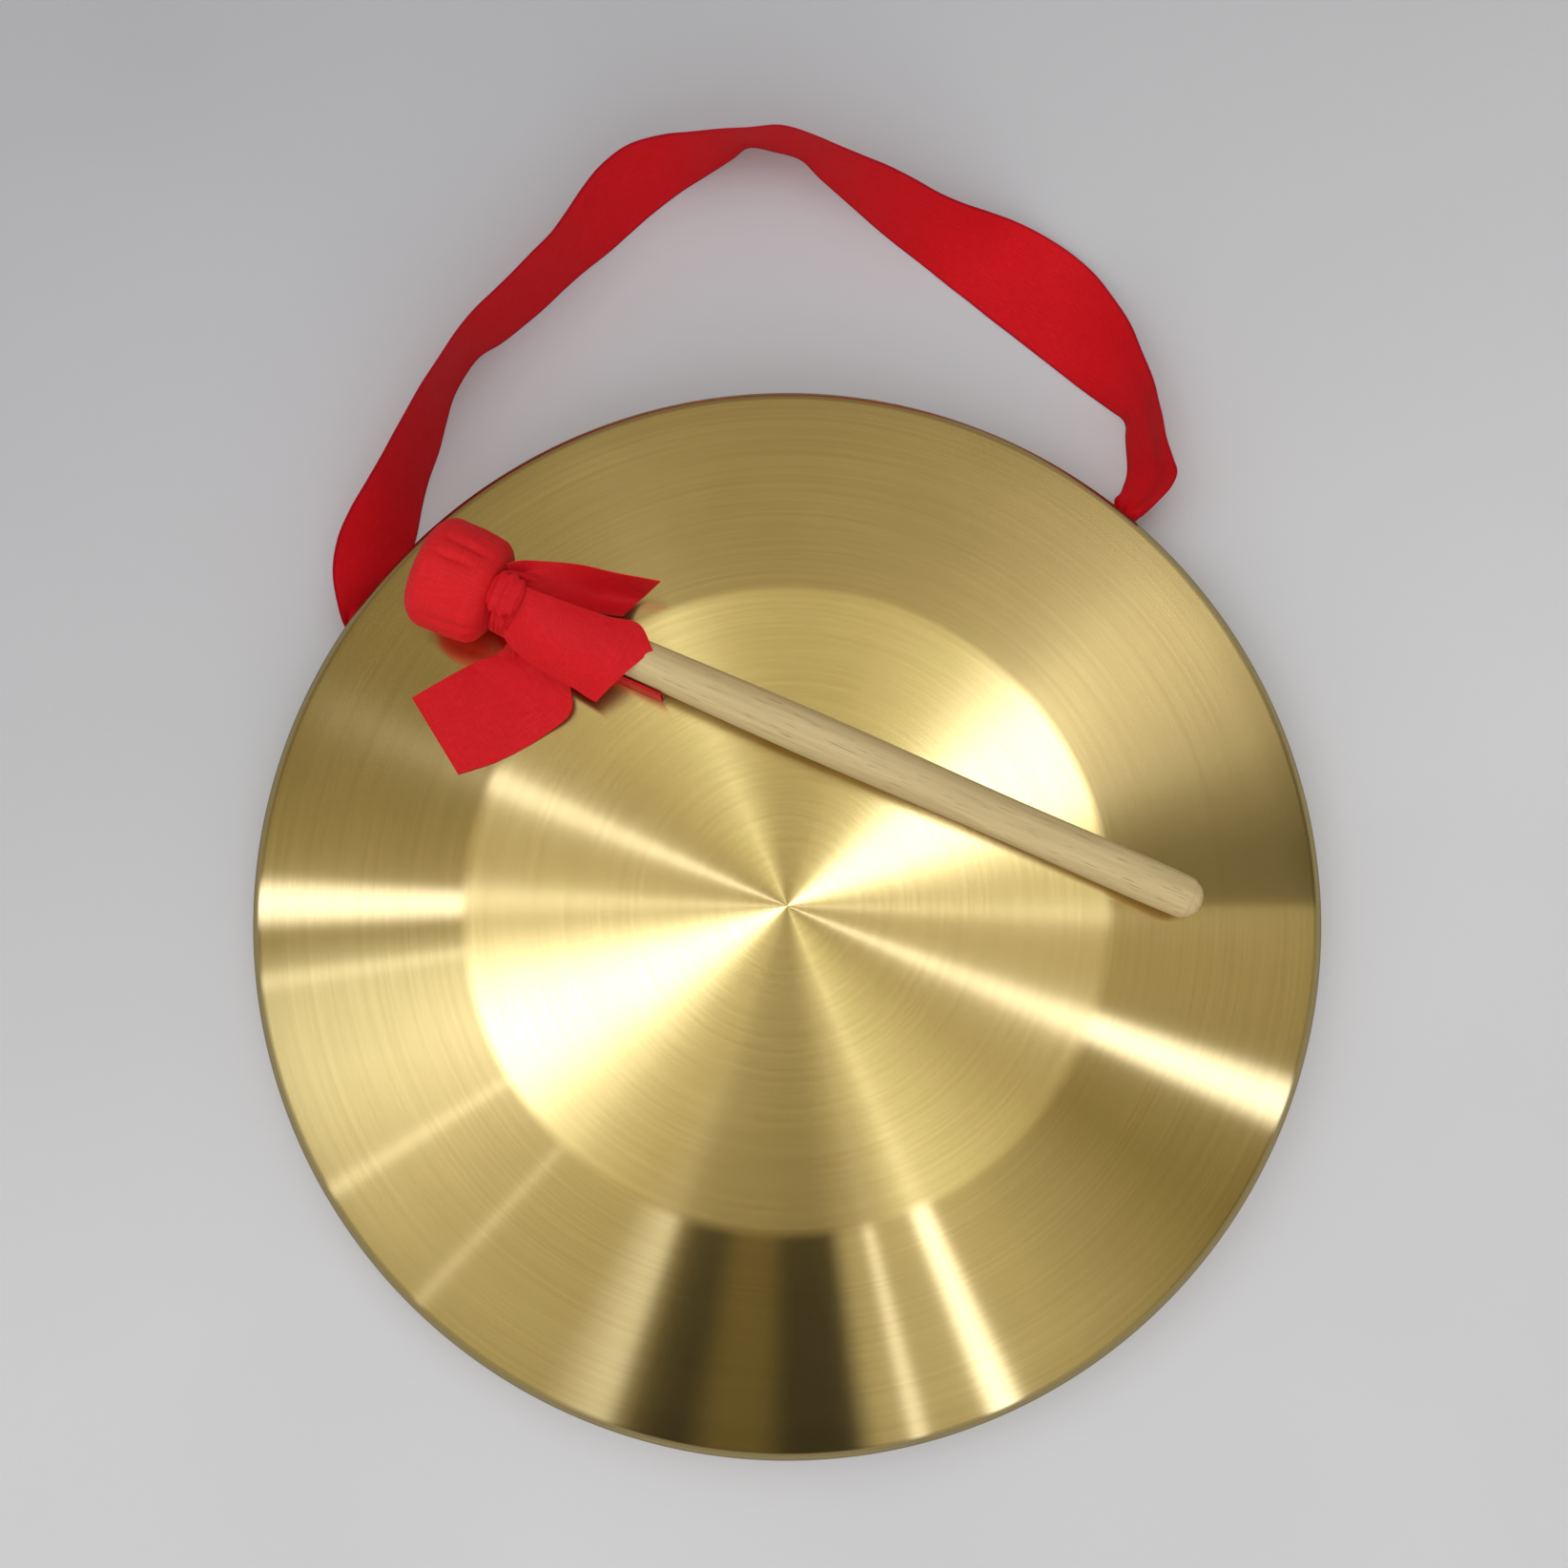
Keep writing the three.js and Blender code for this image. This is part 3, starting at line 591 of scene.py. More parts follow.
# %% Woven threads
def make_weave_group():
    group, entries = new_group("woven_threads", ("Thread Width", "Slub Length"),
                               ("Threads", "Slubs", "Wear"))
    place = add_node(group, "UVMap", uv_map="threads").outputs[0]
    x, y, _ = split(group, place)
    across, along, long_across, long_along = (calculate(group, "DIVIDE", side, entries[size])
                                              for size in ("Thread Width", "Slub Length")
                                              for side in (x, y))
    warp_place = add_node(group, "CombineXYZ", {0: across, 1: long_along}).outputs[0]
    weft_place = add_node(group, "CombineXYZ", {0: long_across, 1: along, 2: 4.0}).outputs[0]
    warp, weft = (noise(group, spot, 1.0, 1.0) for spot in (warp_place, weft_place))
    return close_group(group, Threads=calculate(group, "MAXIMUM", warp, weft),
                       Slubs=calculate(group, "SUBTRACT", warp, weft),
                       Wear=noise(group, place, 0.09, 3.0))


WEAVE = make_weave_group()

# %% [markdown]
# A red dye looks flat if it is one colour. The threads shade it finely, wear shades it in wide soft
# patches, and a little sheen stands for the fibre ends that catch light at a low angle. The strap
# has no sheen. A thin band of painted shade darkens it along both edges, where the ribbon's edges
# turn away from the light.

# %% Cloth finishes
STRAP_WIDTH = 26.5
EDGE_SHADE_COLOR = (0.28, 0.004, 0.02, 1)


def red_cloth(name, color, deep, thread_width, roughness, sheen, ribbon_width=None):
    finish, tree, shader = new_finish(name, Sheen_Weight=sheen, Sheen_Roughness=0.4,
                                      Specular_IOR_Level=0.12, Sheen_Tint=(1.0, 0.12, 0.1, 1.0))
    weave = use_group(tree, WEAVE, Thread_Width=thread_width, Slub_Length=thread_width * 12)
    tone = tint(tree, deep, color, weave["Threads"], 0.4, 0.7)
    tone = tint(tree, tone, deep, weave["Wear"], 0.35, 0.65, 0.35)
    # Painted shade: a thin dark band in the colour along both edges of the ribbon.
    if ribbon_width:
        half = ribbon_width / 2
        place = add_node(tree, "UVMap", uv_map="threads").outputs[0]
        away = calculate(tree, "ABSOLUTE", calculate(tree, "SUBTRACT", split(tree, place)[0], half))
        tone = tint(tree, tone, EDGE_SHADE_COLOR, away, half - 0.9, half - 0.4, 0.6)
    gloss = remap(tree, weave["Slubs"], -0.3, 0.3, roughness + 0.08, roughness - 0.08)
    fill(tree, shader, {"Base Color": tone, "Roughness": gloss,
                        "Normal": bumps(tree, weave["Threads"], 0.00012, 0.5)})
    return finish


strap_cloth = red_cloth("strap_ribbon_red", (0.64, 0.007, 0.012, 1), (0.53, 0.005, 0.009, 1),
                        0.32, 0.7, 0.0, STRAP_WIDTH)
bow_cloth = red_cloth("bow_ribbon_red", (0.67, 0.013, 0.018, 1), (0.55, 0.008, 0.012, 1),
                      0.32, 0.5, 0.08)
cover_cloth = red_cloth("cover_cloth_red", (0.7, 0.017, 0.021, 1), (0.6, 0.012, 0.015, 1),
                        0.36, 0.6, 0.1)
print("red finishes:", [cloth.name for cloth in (strap_cloth, bow_cloth, cover_cloth)])

# %% [markdown]
# ## Ribbon helpers
# A ribbon is two edge lines with cloth between them. Smooth curves run through the stations of
# each edge, and rows of points join them.

# %% Smooth lines and ribbon grids
def smooth_line(points, samples):
    points = np.asarray(points, float)
    padded = np.vstack([2 * points[0] - points[1], points, 2 * points[-1] - points[-2]])
    place = np.linspace(0, len(points) - 1, samples)
    i = np.minimum(place.astype(int), len(points) - 2)
    w = (place - i)[:, None]
    p0, p1, p2, p3 = (padded[i + k] for k in range(4))
    d0, d1, d2 = (np.maximum(np.linalg.norm(b - a, axis=1, keepdims=True), 1e-6) ** 0.5
                  for a, b in ((p0, p1), (p1, p2), (p2, p3)))
    t1 = ((p1 - p0) / d0 - (p2 - p0) / (d0 + d1) + (p2 - p1) / d1) * d1
    t2 = ((p2 - p1) / d1 - (p3 - p1) / (d1 + d2) + (p3 - p2) / d2) * d1
    cubic = (2 * (p1 - p2) + t1 + t2) * w ** 3
    return cubic + (3 * (p2 - p1) - 2 * t1 - t2) * w ** 2 + t1 * w + p1


def unit(vectors):
    return vectors / np.maximum(np.linalg.norm(vectors, axis=-1, keepdims=True), 1e-9)


def ease(value, low, high):
    share = np.clip((np.asarray(value, float) - low) / (high - low), 0.0, 1.0)
    return share * share * (3 - 2 * share)


def plain_noise(values, seed):
    rng = np.random.default_rng(seed)
    phases = rng.uniform(0, 2 * math.pi, 6)
    weights = rng.uniform(0.4, 1.0, 6)
    rates = np.array([1.0, 1.7, 2.6, 3.9, 5.3, 7.1])
    values = np.asarray(values, float)[..., None]
    return (weights * np.sin(values * rates + phases)).sum(-1) / weights.sum()


def ribbon_rows(left, right, columns):
    """Points from the right edge to the left, and the way that each row faces."""
    across = np.linspace(0, 1, columns)[None, :, None]
    run = np.gradient(left, axis=0) + np.gradient(right, axis=0)
    return right[:, None] + (left - right)[:, None] * across, unit(np.cross(run, left - right))


def push_out(points, facing, amount):
    points += facing[:, None] * amount[..., None]


# %% [markdown]
# Where the edges are drawn closer than the ribbon is wide, the spare width folds into pleats like
# a fan, so the cloth never shrinks. The finished grid then gets a thickness.

# %% Pleats and cloth
def add_pleats(points, facing, width, width_now, pleats, drawn, uneven):
    spare = np.sqrt(np.maximum(width ** 2 - width_now ** 2, 0.0)) / (2 * pleats)
    waves = np.cos(2 * math.pi * pleats * uneven)
    push_out(points, facing, (drawn * spare * 0.5)[:, None] * waves)


def cloth_sheet(name, points, finish, width, thickness):
    along = lengths_along(points[:, points.shape[1] // 2])
    across = np.linspace(0.0, width, points.shape[1])
    piece = grid_piece(name, points, finish, thread_places(across[None, :], along[:, None]))
    thick = piece.modifiers.new("thickness", "SOLIDIFY")
    thick.thickness = thickness * MM
    thick.offset = 0.0
    apply_modifiers(piece)
    piece.data.set_sharp_from_angle(angle=math.radians(50))
    return piece, float(along[-1])


# %% [markdown]
# ## Strap
# The strap is one red ribbon. Laid on the floor it stands on one edge and leans, because each end
# is tied and turned. Each station gives its raised outer edge (along, out, and height in
# millimetres) and the inner edge that it stands on (along and out), in shares of half the hole
# spacing and of the strap's reach.

# %% Strap stations
STRAP_REACH = 121.5
PIVOT_OVERHANG = 5.5
EDGE_HEIGHT = 0.25
LAST_EDGE_HEIGHT = 2.5
strap_origin = HINGE_PLACE * LEVEL
hole_angle_half = (HOLE_ANGLES["left"] - HOLE_ANGLES["right"]) / 2
HALF_SPAN = (GONG_RADIUS + PIVOT_OVERHANG) * math.sin(hole_angle_half)
strap_shares = np.array([
    [-.975, .095, 19.0, -.798, .111], [-.948, .169, 21.3, -.799, .157],
    [-.905, .228, 23.1, -.781, .208], [-.858, .277, 24.4, -.760, .267],
    [-.814, .325, 25.3, -.735, .325], [-.774, .374, 25.9, -.703, .384],
    [-.734, .422, 26.3, -.675, .446], [-.692, .474, 26.5, -.647, .504],
    [-.645, .526, 26.7, -.611, .552], [-.596, .577, 26.8, -.566, .594],
    [-.542, .622, 26.8, -.506, .620], [-.490, .658, 26.8, -.443, .656],
    [-.435, .698, 26.6, -.384, .690], [-.383, .737, 26.3, -.324, .728],
    [-.330, .776, 25.9, -.264, .765], [-.285, .823, 25.4, -.199, .802],
    [-.238, .874, 25.1, -.140, .838], [-.184, .922, 25.0, -.085, .872],
    [-.112, .959, 25.4, -.036, .900], [-.026, .969, 26.0, .011, .924],
    [.049, .964, 26.5, .074, .951], [.122, .960, 26.8, .150, .985],
    [.193, .953, 26.8, .194, 1.006], [.271, .946, 26.8, .262, .986],
    [.345, .916, 26.7, .325, .958], [.406, .884, 26.5, .366, .905],
    [.465, .851, 26.3, .408, .855], [.524, .818, 26.0, .454, .805],
    [.582, .782, 25.3, .502, .754], [.635, .749, 23.8, .550, .704],
    [.694, .728, 20.6, .600, .653], [.763, .718, 15.0, .648, .603],
    [.839, .704, 8.8, .694, .557], [.906, .677, 4.6, .738, .512],
    [.967, .632, 3.2, .782, .469], [1.017, .569, 4.6, .824, .427],
    [1.046, .497, 8.4, .866, .385], [1.066, .411, 14.5, .910, .342],
    [1.072, .330, 19.5, .957, .297], [1.078, .265, 22.3, 1.008, .250],
    [1.080, .235, 22.9, 1.033, .227], [1.081, .207, 23.1, 1.038, .209],
    [1.084, .167, 23.2, 1.033, .185], [1.086, .120, 22.8, 1.028, .150],
    [1.097, .073, 21.5, 1.023, .118], [1.104, .045, 20.0, 1.017, .097],
    [1.088, .018, 18.0, 1.006, .076], [1.046, -.012, 14.5, .989, .051]])


def strap_places(along, out, height):
    return (strap_origin + np.outer(along * HALF_SPAN, HINGE_AXIS)
            + np.outer(out * STRAP_REACH, HINGE_OUT) + np.outer(height, UP))


outer_edge = strap_places(*strap_shares[:, :3].T)
inner_edge = strap_places(*strap_shares[:, 3:].T, np.full(len(strap_shares), EDGE_HEIGHT))
inner_edge[-1, 2] = LAST_EDGE_HEIGHT
print("strap stations:", len(strap_shares), "highest edge, mm:", strap_shares[:, 2].max())

# %% [markdown]
# The ends are worked out from the holes. Just outside the rim the ribbon still has some width,
# and then it is bunched, goes through the hole and stops at the knot.

# %% Strap ends
END_REACHES = (-2.5, 0.5, 1.8)
END_WIDTHS = (3.6, 4.0, 6.0)
end_shares = {"left": [-.977, -.003, 13.5, -.880, .050, 5.5],
              "right": [1.008, -.037, 12.5, .967, .027, 6.0]}
end_slides = {"left": 1.8, "right": 0.3}


def end_stations(side):
    outer_end, inner_end = (strap_places(*end_shares[side][k:k + 3])[0] for k in (0, 3))
    spread = unit(outer_end - inner_end)
    middles = [GONG_MIDDLE + on_hole_axis(side, reach) for reach in END_REACHES]
    middles[-1] -= spread * LEVEL * end_slides[side]
    return [[middle + sign * spread * width / 2 for middle, width in zip(middles, END_WIDTHS)]
            + [end] for sign, end in ((1, outer_end), (-1, inner_end))]


STRAP_ROWS = 480
left_ends, right_ends = end_stations("left"), end_stations("right")
outer_line, inner_line = (smooth_line(np.vstack([before, edge, after[::-1]]), STRAP_ROWS)
                          for before, edge, after in zip(left_ends, (outer_edge, inner_edge),
                                                         right_ends))
print("strap lines:", len(outer_line), "points each")

# %% [markdown]
# Between its edges the ribbon isn't quite flat. It has pleats near the holes, slow soft waves
# everywhere else, and a shallow hollow along its middle where it comes down to the right hole.

# %% Strap surface
STRAP_COLUMNS = 33
HOLLOW_DEPTH = 1.3
points, facing = ribbon_rows(outer_line, inner_line, STRAP_COLUMNS)
travel = lengths_along((outer_line + inner_line) / 2)
from_right = travel[-1] - travel
drawn = 1 - ease(np.minimum(travel, from_right), 3.0, 14.0)
across = np.linspace(0, 1, STRAP_COLUMNS)
add_pleats(points, facing, STRAP_WIDTH, np.linalg.norm(outer_line - inner_line, axis=1), 3, drawn,
           across + 0.03 * plain_noise(across * 9.0, 3))
soft_wave = 0.35 * plain_noise(travel[:, None] * 0.035 + across * 0.8, 11)
push_out(points, facing, soft_wave * (1 - drawn[:, None]))
near_end = ease(from_right, 6.0, 16.0) * (1 - ease(from_right, 40.0, 60.0))
hollow = np.exp(-((across - 0.5) / 0.24) ** 2)
push_out(points, facing, near_end[:, None] * hollow * -HOLLOW_DEPTH)
points[..., 2] = np.maximum(points[..., 2], EDGE_HEIGHT)

# %% Strap piece
RIBBON_THICKNESS = 0.35
strap, strap_length = cloth_sheet("strap", points, strap_cloth, STRAP_WIDTH, RIBBON_THICKNESS)
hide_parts("strap_ribbon")
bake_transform(strap)
print("strap:", len(strap.data.vertices), "points, length, mm:", round(strap_length, 1))

# %% [markdown]
# ## Knots behind the rim
# Each end of the strap is held by a knot inside the rim. The ribbon is bunched there, so it is a
# soft cord with ridges, laid along the path of an overhand knot.

# %% Bunched cord helper
def bunched_cord(name, route, radii, finish, ridges, ridge_depth, samples, sides, twist=0.02):
    line = smooth_line(route, samples)
    run = unit(np.gradient(line, axis=0))
    side = np.zeros_like(line)
    side[0] = unit(np.cross(run[0], [0.3, 0.2, 1.0]))
    for i in range(1, samples):
        side[i] = unit(side[i - 1] - run[i] * (side[i - 1] @ run[i]))
    other = np.cross(run, side)
    turn = full_turn(sides)
    along = lengths_along(line)[:, None]
    radius = np.interp(np.linspace(0, 1, samples), np.linspace(0, 1, len(radii)), radii)
    uneven = plain_noise(along[:, 0] * 0.6, 5)[:, None]
    wave = 1 + ridge_depth * np.cos(ridges * turn + twist * along * ridges + uneven)
    around = np.cos(turn)[:, None] * side[:, None] + np.sin(turn)[:, None] * other[:, None]
    points = line[:, None] + (radius[:, None] * wave)[..., None] * around
    places = thread_places(turn[None, :] * 4.0, along)
    return close_ends(grid_piece(name, points, finish, places, closed=True))


# %% Strap knots
GATHER_RADIUS = 1.9
KNOT_TURN = 2.3
KNOT_GAP = 0.3
KNOT_RADII = [1.85] * 10 + [2.2]
for side, spoke in HOLE_SPOKES.items():
    tangent = np.array([-spoke[1], spoke[0], 0.0])
    centre = on_hole_axis(side, -SHEET - KNOT_GAP - GATHER_RADIUS - 2 * KNOT_TURN)
    turn = 2 * math.pi * np.linspace(0.14, 0.86, 24)
    loops = (centre + np.outer((np.sin(turn) + 2 * np.sin(2 * turn)) * KNOT_TURN, tangent)
             - np.outer(np.sin(3 * turn) * KNOT_TURN, spoke)
             + np.outer((np.cos(turn) - 2 * np.cos(2 * turn)) * KNOT_TURN, UP))
    start = [on_hole_axis(side, reach) for reach in (1.0, 0.0, -SHEET - 2 * GATHER_RADIUS)]
    route = GONG_MIDDLE + np.vstack([start, loops])
    knot = bunched_cord("strap_knot_end_" + side, route, KNOT_RADII, strap_cloth, 5, 0.09, 180, 30)
    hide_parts("strap_knot_" + side)
    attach(knot, "gong")
    print(knot.name, len(knot.data.vertices), "points")

# %% [markdown]
# ## Beater stick
# A turned hardwood stick: slimmer at the neck, fuller in the hand, with a rounded end. It is a
# turned outline again, laid along the stick's own axis.

# %% Wood finish
wood, tree, shader = new_finish("pale_wood", Specular_IOR_Level=0.4)
source = add_node(tree, "TexCoord").outputs["Object"]
stick_turn = tuple(Vector(STICK_AXIS).to_track_quat("X", "Z").to_euler())
inputs = {"Vector": source, "Location": tuple(STICK_ZERO * MM), "Rotation": stick_turn}
place = add_node(tree, "Mapping", inputs, vector_type="TEXTURE").outputs[0]
place = calculate(tree, "MULTIPLY", place, (0.05, 1.0, 1.0), kind="VectorMath")
grain = noise(tree, place, 420.0, 4.0, Roughness=0.6, Distortion=0.4)
streak = noise(tree, place, 1500.0, 2.0)
pores = noise(tree, place, 2600.0, 1.0)
tone = tint(tree, (0.63, 0.485, 0.235, 1), (0.53, 0.39, 0.18, 1), grain, 0.35, 0.68)
tone = tint(tree, tone, (0.38, 0.27, 0.14, 1), streak, 0.5, 0.75, 0.22)
tone = tint(tree, tone, (0.22, 0.14, 0.07, 1), pores, 0.66, 0.74, 0.6)
fill(tree, shader, {"Base Color": tone, "Roughness": remap(tree, grain, 0.3, 0.7, 0.42, 0.56),
                    "Normal": bumps(tree, streak, 0.00006, 0.5)})
print("wood:", len(tree.nodes), "nodes")

# %% Places on the stick
BEATER_LENGTH = 217.5
GRIP_REACH = 96.5
STICK_RADIUS = 6.0
HEAD_LENGTH = 21.5
HEAD_RADIUS = 14.8
HEAD_CORNER = 6.0
NECK_LENGTH = 7.5
CLOTH = 1.1
HEAD_END = GRIP_REACH - BEATER_LENGTH
HEAD_NECK = HEAD_END + HEAD_LENGTH
STICK_END = HEAD_END + 5.0
STICK_SIDES = 64
stick_shares = np.array([[0, .82], [.015, .87], [.2, .87], [.5, 1], [.75, .93], [.92, .95],
                         [.97, .92], [.987, .78], [.997, .45], [1, 0]])


def stick_radius_at(along):
    share = (np.asarray(along, float) - STICK_END) / (GRIP_REACH - STICK_END)
    return STICK_RADIUS * np.interp(share, stick_shares[:, 0], stick_shares[:, 1])


def beside_stick(along, side, lift):
    along, side, lift = (np.asarray(x, float)[..., None] for x in (along, side, lift))
    return STICK_ZERO + along * STICK_AXIS + side * STICK_SIDE + lift * STICK_LIFT


def around_stick(name, along, radius, sides, finish):
    turn = full_turn(sides)
    along, radius = (np.reshape(x, (len(x), -1)) for x in (along, radius))
    points = beside_stick(along, radius * np.cos(turn), radius * np.sin(turn))
    places = thread_places(turn[None, :] * 8.0, lengths_along(points[:, 0])[:, None])
    return close_ends(grid_piece(name, points, finish, places, closed=True))


# %% Stick piece
line = smooth_line(stick_shares, 160)
along = STICK_END + line[:, 0] * (GRIP_REACH - STICK_END)
radius = np.maximum(line[:, 1], 0.004) * STICK_RADIUS
stick = around_stick("beater_stick", along, radius, STICK_SIDES, wood)
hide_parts("handle_stick")
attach(stick, "beater")
print("stick:", len(stick.data.vertices), "points")

# %% [markdown]
# ## Beater head
# The head is a wad of wound fabric on the end of the stick, under a cover of red cloth. Both are
# the same rounded outline turned about the stick, the wad a little smaller.

# %% Wadding finish and outline of the head
wad, tree, shader = new_finish("wound_wadding", Roughness=0.9, Sheen_Weight=0.3)
fluff = noise(tree, add_node(tree, "TexCoord").outputs["Object"], 900.0, 4.0)
tone = blend_colors(tree, fluff, (0.62, 0.56, 0.46, 1), (0.8, 0.76, 0.68, 1))
fill(tree, shader, {"Base Color": tone, "Normal": bumps(tree, fluff, 0.0002, 0.6)})


def head_line(inset, steps):
    corner = HEAD_CORNER - inset
    crown = np.array([HEAD_END + HEAD_CORNER, HEAD_RADIUS - HEAD_CORNER])
    gather = np.array([HEAD_NECK - HEAD_CORNER, HEAD_RADIUS - HEAD_CORNER])
    quarter = np.linspace(0, math.pi / 2, steps)
    closed = crown + corner * np.stack([-np.cos(quarter), np.sin(quarter)], 1)
    drawn = gather + corner * np.stack([np.sin(quarter), np.cos(quarter)], 1)
    return np.vstack([closed, drawn])


# %% Wadding
INSET = CLOTH + 0.35
WAD_SIDES = 60
line = np.vstack([[HEAD_END + INSET, 0.05], head_line(INSET, 10),
                  [HEAD_NECK - INSET, STICK_RADIUS + 0.2]])
along, radius = line[:, :1], line[:, 1:]
windings = 1 + np.sin(full_turn(WAD_SIDES) * 2 + along * 1.9)
radius = radius - 0.3 * windings * ease(radius, 5.0, 12.0)
wadding = around_stick("wadding", along, radius, WAD_SIDES, wad)
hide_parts("head_wadding")
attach(wadding, "beater")
print("wadding:", len(wadding.data.vertices), "points")

# %% [markdown]
# The cover is one piece drawn over the wad and gathered at the neck. Its creases are uneven, run
# along the head and deepen to the neck, so the cover's grid is moved in and out. Each crease has
# the degrees where it lies and how wide it is, its depth, and the shares of the head's length
# where it starts and ends.

# %% Cover outline
NECK_GAP = 0.3
NECK_RADIUS = float(stick_radius_at(HEAD_NECK)) + NECK_GAP + CLOTH
COVER_SIDES = 240
head_creases = (
    (61, 4.5, .85, .22, .86), (80, 4, .75, .18, .7), (106, 5, .4, .05, .4), (128, 6, .35, .55, 1),
    (24, 5, .6, .3, 1), (150, 5, .55, .25, 1), (181, 5, .6, .15, .9), (212, 6, .7, .3, 1),
    (241, 5, .5, .1, .8), (268, 6, .65, .3, 1), (301, 5, .55, .2, .95), (334, 6, .6, .3, 1))
closed = np.linspace(0.02, 1, 14)[:-1] * (HEAD_RADIUS - HEAD_CORNER)
neck = [[0.15, 8.1], [0.5, NECK_RADIUS + 0.5], [1.4, NECK_RADIUS], [4.0, NECK_RADIUS],
        [NECK_LENGTH, NECK_RADIUS + 0.1], [NECK_LENGTH, NECK_RADIUS - 0.8],
        [1.0, NECK_RADIUS - 0.8]]
line = np.vstack([np.column_stack([np.full(len(closed), HEAD_END), closed]), head_line(0.0, 14),
                  np.array(neck) + [HEAD_NECK, 0.0]])
dense = smooth_line(line, 130)
along, radius = dense[:, :1], dense[:, 1:2]
print("cover outline points:", len(line), "creases:", len(head_creases))

# %% Cover creases
DEEPEST = 1.2
turn = full_turn(COVER_SIDES)
share_along = (along - HEAD_END) / HEAD_LENGTH
full = ease(radius, NECK_RADIUS, HEAD_RADIUS)
sunk = np.zeros((len(dense), COVER_SIDES))
for number, (where, wide, deep, start, end) in enumerate(head_creases):
    wander = math.radians(where) + 0.03 * plain_noise(along * 0.25, number)
    away = np.angle(np.exp(1j * (turn - wander)))
    lasts = ease(share_along, start, start + 0.15) * (1 - ease(share_along, end - 0.15, end + 0.02))
    sunk += deep * np.exp(-(away / math.radians(wide)) ** 2) * lasts
gathers = 0.5 * (1 + plain_noise(turn * 4.0, 17)) * ease(share_along, 0.62, 1.0)
slack = 0.22 * plain_noise(along * 0.3 + 0.4 * np.sin(turn), 21) * full
roll = 0.30 * np.exp(-((along - (HEAD_NECK - 5.6)) / 1.3) ** 2) * full
radius = radius - np.minimum((sunk + 0.55 * gathers) * full + roll, DEEPEST) + slack
radius = np.clip(radius, 0.02, HEAD_RADIUS + 0.3)
cover = around_stick("beater_cover", along, radius, COVER_SIDES, cover_cloth)
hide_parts("head_cover")
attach(cover, "beater")
print("cover:", len(cover.data.vertices), "points")

# %% [markdown]
# ## Neck ribbon
# A second ribbon is wound round the neck over the cover and tied on top. Its three turns are
# bunched and lie a little askew, so they are one ridged cord.

# %% Binding
BINDING_WIDTH = 6.5
BINDING_THICKNESS = 1.4
BINDING_RADIUS = NECK_RADIUS + NECK_GAP + BINDING_THICKNESS
THREE_TURNS = 6 * math.pi
turn = np.linspace(0, THREE_TURNS, 120)
wound = turn / THREE_TURNS * (BINDING_WIDTH - 2.0)
along = HEAD_NECK + 1.3 + wound + 0.35 * np.sin(turn)
radius = BINDING_RADIUS - BINDING_THICKNESS / 2
route = beside_stick(along, radius * np.cos(turn + 1.2), radius * np.sin(turn + 1.2))
binding = bunched_cord("neck_turns", route, [1.0, 1.1, 1.05, 1.15, 1.0], bow_cloth, 4, 0.14,
                       420, 22, twist=0.12)
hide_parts("neck_binding")
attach(binding, "beater")
print("binding:", len(binding.data.vertices), "points")

# %% [markdown]
# ## Bow
# The knot is a ribbon pulled tight over itself: a soft lump with wrinkles across it. Four ends
# belong to it. The one above is folded into a trough, the middle one lies over the stick, the
# lower one drops to the gong's face, and the last comes out from under the middle one, folded
# lengthwise, and lies on edge beside the stick.

# %% Bow knot
BOW_LENGTH, BOW_WIDTH, BOW_HEIGHT = 8.0, 10.0, 5.0
KNOT_LONGER, KNOT_WIDER, KNOT_SHIFT = 1.12, 1.22, 0.5
KNOT_ROWS, KNOT_COLUMNS = 60, 96
bow_along = HEAD_NECK + 0.3 + BOW_LENGTH / 2
LEVEL_AXIS = unit(STICK_AXIS * LEVEL)
bow_middle = STICK_ZERO + STICK_AXIS * bow_along + UP * (BINDING_RADIUS + 0.3 + BOW_HEIGHT / 2)
polar = np.linspace(0.02, math.pi - 0.02, KNOT_ROWS)[:, None]
turn = full_turn(KNOT_COLUMNS)
ring = np.sin(polar) ** 0.6
wrinkle = 1 - 0.09 * (1 + np.cos(9 * polar + 1.5 * plain_noise(turn, 8) + 0.8)) * np.sin(polar)
knot_x = -np.cos(polar) * BOW_LENGTH / 2 * KNOT_LONGER - KNOT_SHIFT
knot_y, knot_z = (ring * np.sign(part) * np.abs(part) ** 0.75 * wrinkle * size / 2
                  for part, size in ((np.cos(turn), BOW_WIDTH * KNOT_WIDER),
                                     (np.sin(turn), BOW_HEIGHT)))
points = (bow_middle + knot_x[..., None] * LEVEL_AXIS + knot_y[..., None] * STICK_SIDE
          + knot_z[..., None] * UP)
places = thread_places(turn * 4.0, polar * 4.0)
bow_knot = close_ends(grid_piece("bow_wrap", points, bow_cloth, places, closed=True))
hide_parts("bow_knot")
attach(bow_knot, "beater")
print("bow knot middle, mm:", [round(float(x), 1) for x in bow_middle])

# %% [markdown]
# The ends are given by stations, like the strap: where each edge lies along and across the stick,
# in units of 25 mm from the knot, and its share of the rise from the gong's face to the knot. The
# last number bends the ribbon's middle out of the line between its edges.

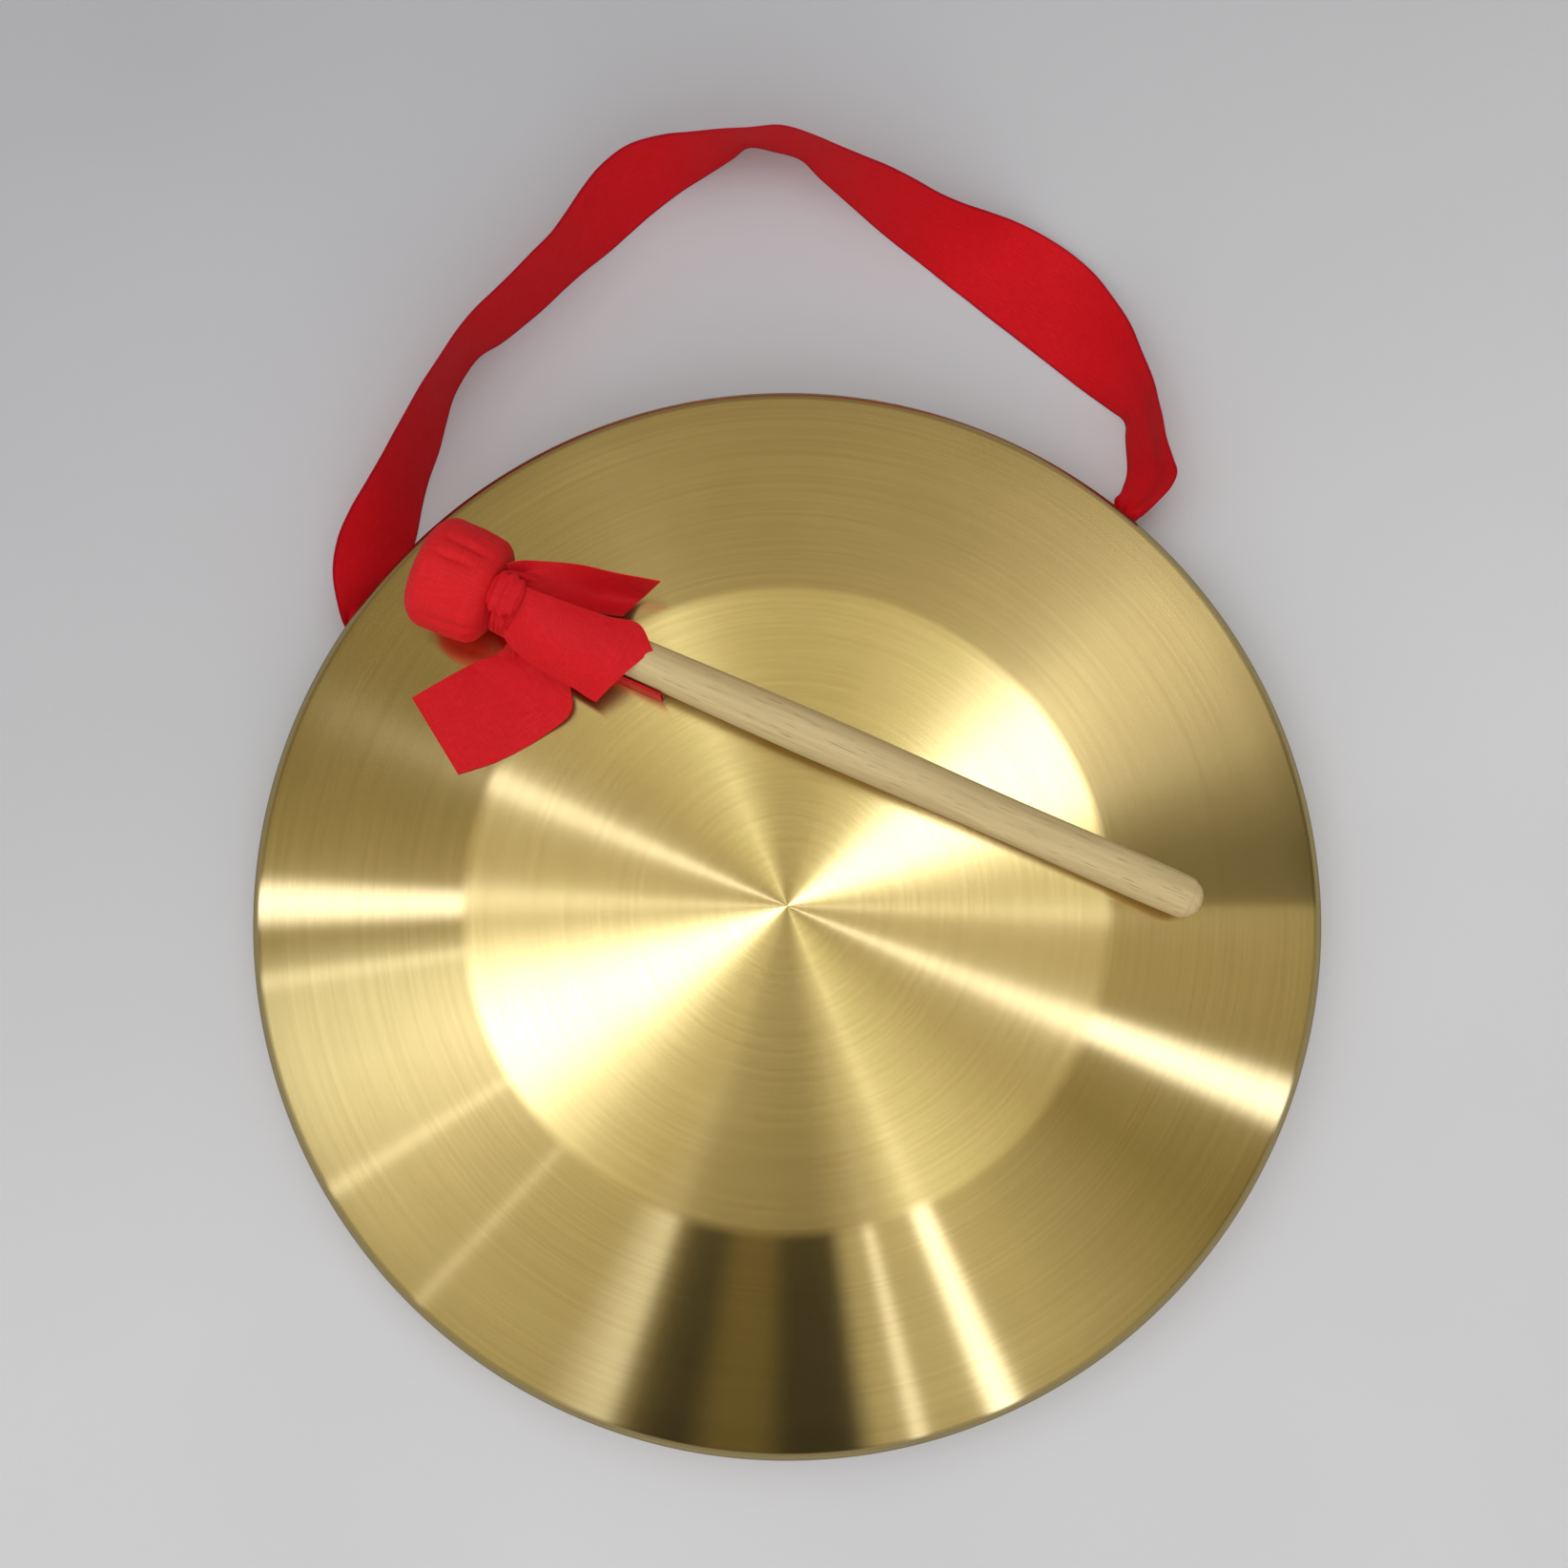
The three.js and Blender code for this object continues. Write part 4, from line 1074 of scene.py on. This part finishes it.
# %% Bow end stations
TAIL_UNIT = 25.0
TAIL_ROWS = 90
tail_shares = {
    "upper": [[-.15, .24, .78, -.05, .08, .95, 0], [.03, .44, .75, .18, .14, .86, -.03],
              [.43, .62, .64, .47, .19, .68, -.16], [.85, .72, .54, .76, .25, .55, -.30],
              [1.28, .83, .46, 1.07, .34, .45, -.34]],
    "middle": [[0, .07, 1.0, .02, -.12, .96, 0], [.05, .13, 1.02, .08, -.36, .70, .06],
               [.25, .16, .92, .34, -.48, .60, .11], [.62, .20, .80, .70, -.53, .51, .15],
               [.99, .24, .72, .96, -.55, .46, .16], [1.29, .30, .66, 1.08, -.57, .42, .16],
               [1.53, .11, .64, 1.19, -.58, .41, .12]],
    "lower": [[.12, -.28, .64, .31, -.21, .68, 0], [.08, -.44, .40, .59, -.32, .44, 0],
              [-.03, -.52, .16, .96, -.71, .18, 0], [-.19, -.62, .02, .79, -1.08, .02, 0],
              [-.43, -.91, 0, .47, -1.5, 0, 0], [-.68, -1.25, 0, .13, -1.8, 0, 0]],
}
tail_pleated = {"upper": (0.05, 0.4), "middle": (0.02, 0.22), "lower": (0.12, 0.5)}
tail_zero = bow_middle * LEVEL


def lying_height(points):
    away = np.hypot(points[..., 0] - GONG_MIDDLE[0], points[..., 1] - GONG_MIDDLE[1])
    return np.interp(np.minimum(away, GONG_RADIUS - BEND_RADIUS), *outer[:-1].T) + 0.35


def tail_edge_line(along, side, rise):
    points = (tail_zero + np.outer(along * TAIL_UNIT, LEVEL_AXIS)
              + np.outer(side * TAIL_UNIT, STICK_SIDE))
    points[:, 2] = lying_height(points) + rise * (bow_middle[2] - lying_height(points))
    return smooth_line(points, TAIL_ROWS)


# %% Bow ends
BOW_RIBBON = 22.5
TAIL_COLUMNS = 65
TAIL_PLEATS = 2
for name, shares in tail_shares.items():
    shares = np.array(shares)
    left, right = (tail_edge_line(*shares[:, k:k + 3].T) for k in (0, 3))
    points, facing = ribbon_rows(left, right, TAIL_COLUMNS)
    crown = smooth_line(shares[:, 6:], TAIL_ROWS)
    across = np.linspace(0, 1, TAIL_COLUMNS)
    push_out(points, facing, crown * TAIL_UNIT * (1 - (2 * across - 1) ** 2))
    cloth_across = np.linalg.norm(np.diff(points, axis=1), axis=2).sum(1)
    near_knot = 1 - ease(np.linspace(0, 1, TAIL_ROWS), *tail_pleated[name])
    add_pleats(points, facing, BOW_RIBBON, cloth_across, TAIL_PLEATS, near_knot,
               across + 0.04 * plain_noise(across * 8, len(name)))
    points[..., 2] = np.maximum(points[..., 2], lying_height(points))
    tail, length = cloth_sheet("bow_end_" + name, points, bow_cloth, BOW_RIBBON, RIBBON_THICKNESS)
    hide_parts("tail_" + name)
    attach(tail, "beater")
    print("bow end", name, "length, mm:", round(length, 1))

# %% Folded end beside the stick
FOLDED_WIDTH = 10.5
FOLDED_THICKNESS = 0.3
FOLD_HALF_GAP = 0.36
edge_shares = np.linspace(0.81, 1.77, 60)
edge_along = bow_along + edge_shares * TAIL_UNIT
edge_side = -(stick_radius_at(edge_along) + 0.75)
foot = tail_zero + np.outer(edge_shares * TAIL_UNIT, LEVEL_AXIS) + edge_side[:, None] * STICK_SIDE
foot[:, 2] = lying_height(foot) - 0.1
shape = np.linspace(-1, 1, 31)[:, None]
fold = FOLD_HALF_GAP * np.tanh(shape * 9) * STICK_SIDE
fold = fold + FOLDED_WIDTH * (1 - np.abs(shape)) ** 0.9 * UP
edge_end, length = cloth_sheet("bow_end_folded", foot[:, None] + fold, bow_cloth, BOW_RIBBON,
                               FOLDED_THICKNESS)
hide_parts("tail_edge")
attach(edge_end, "beater")
print("folded end length, mm:", round(length, 1))
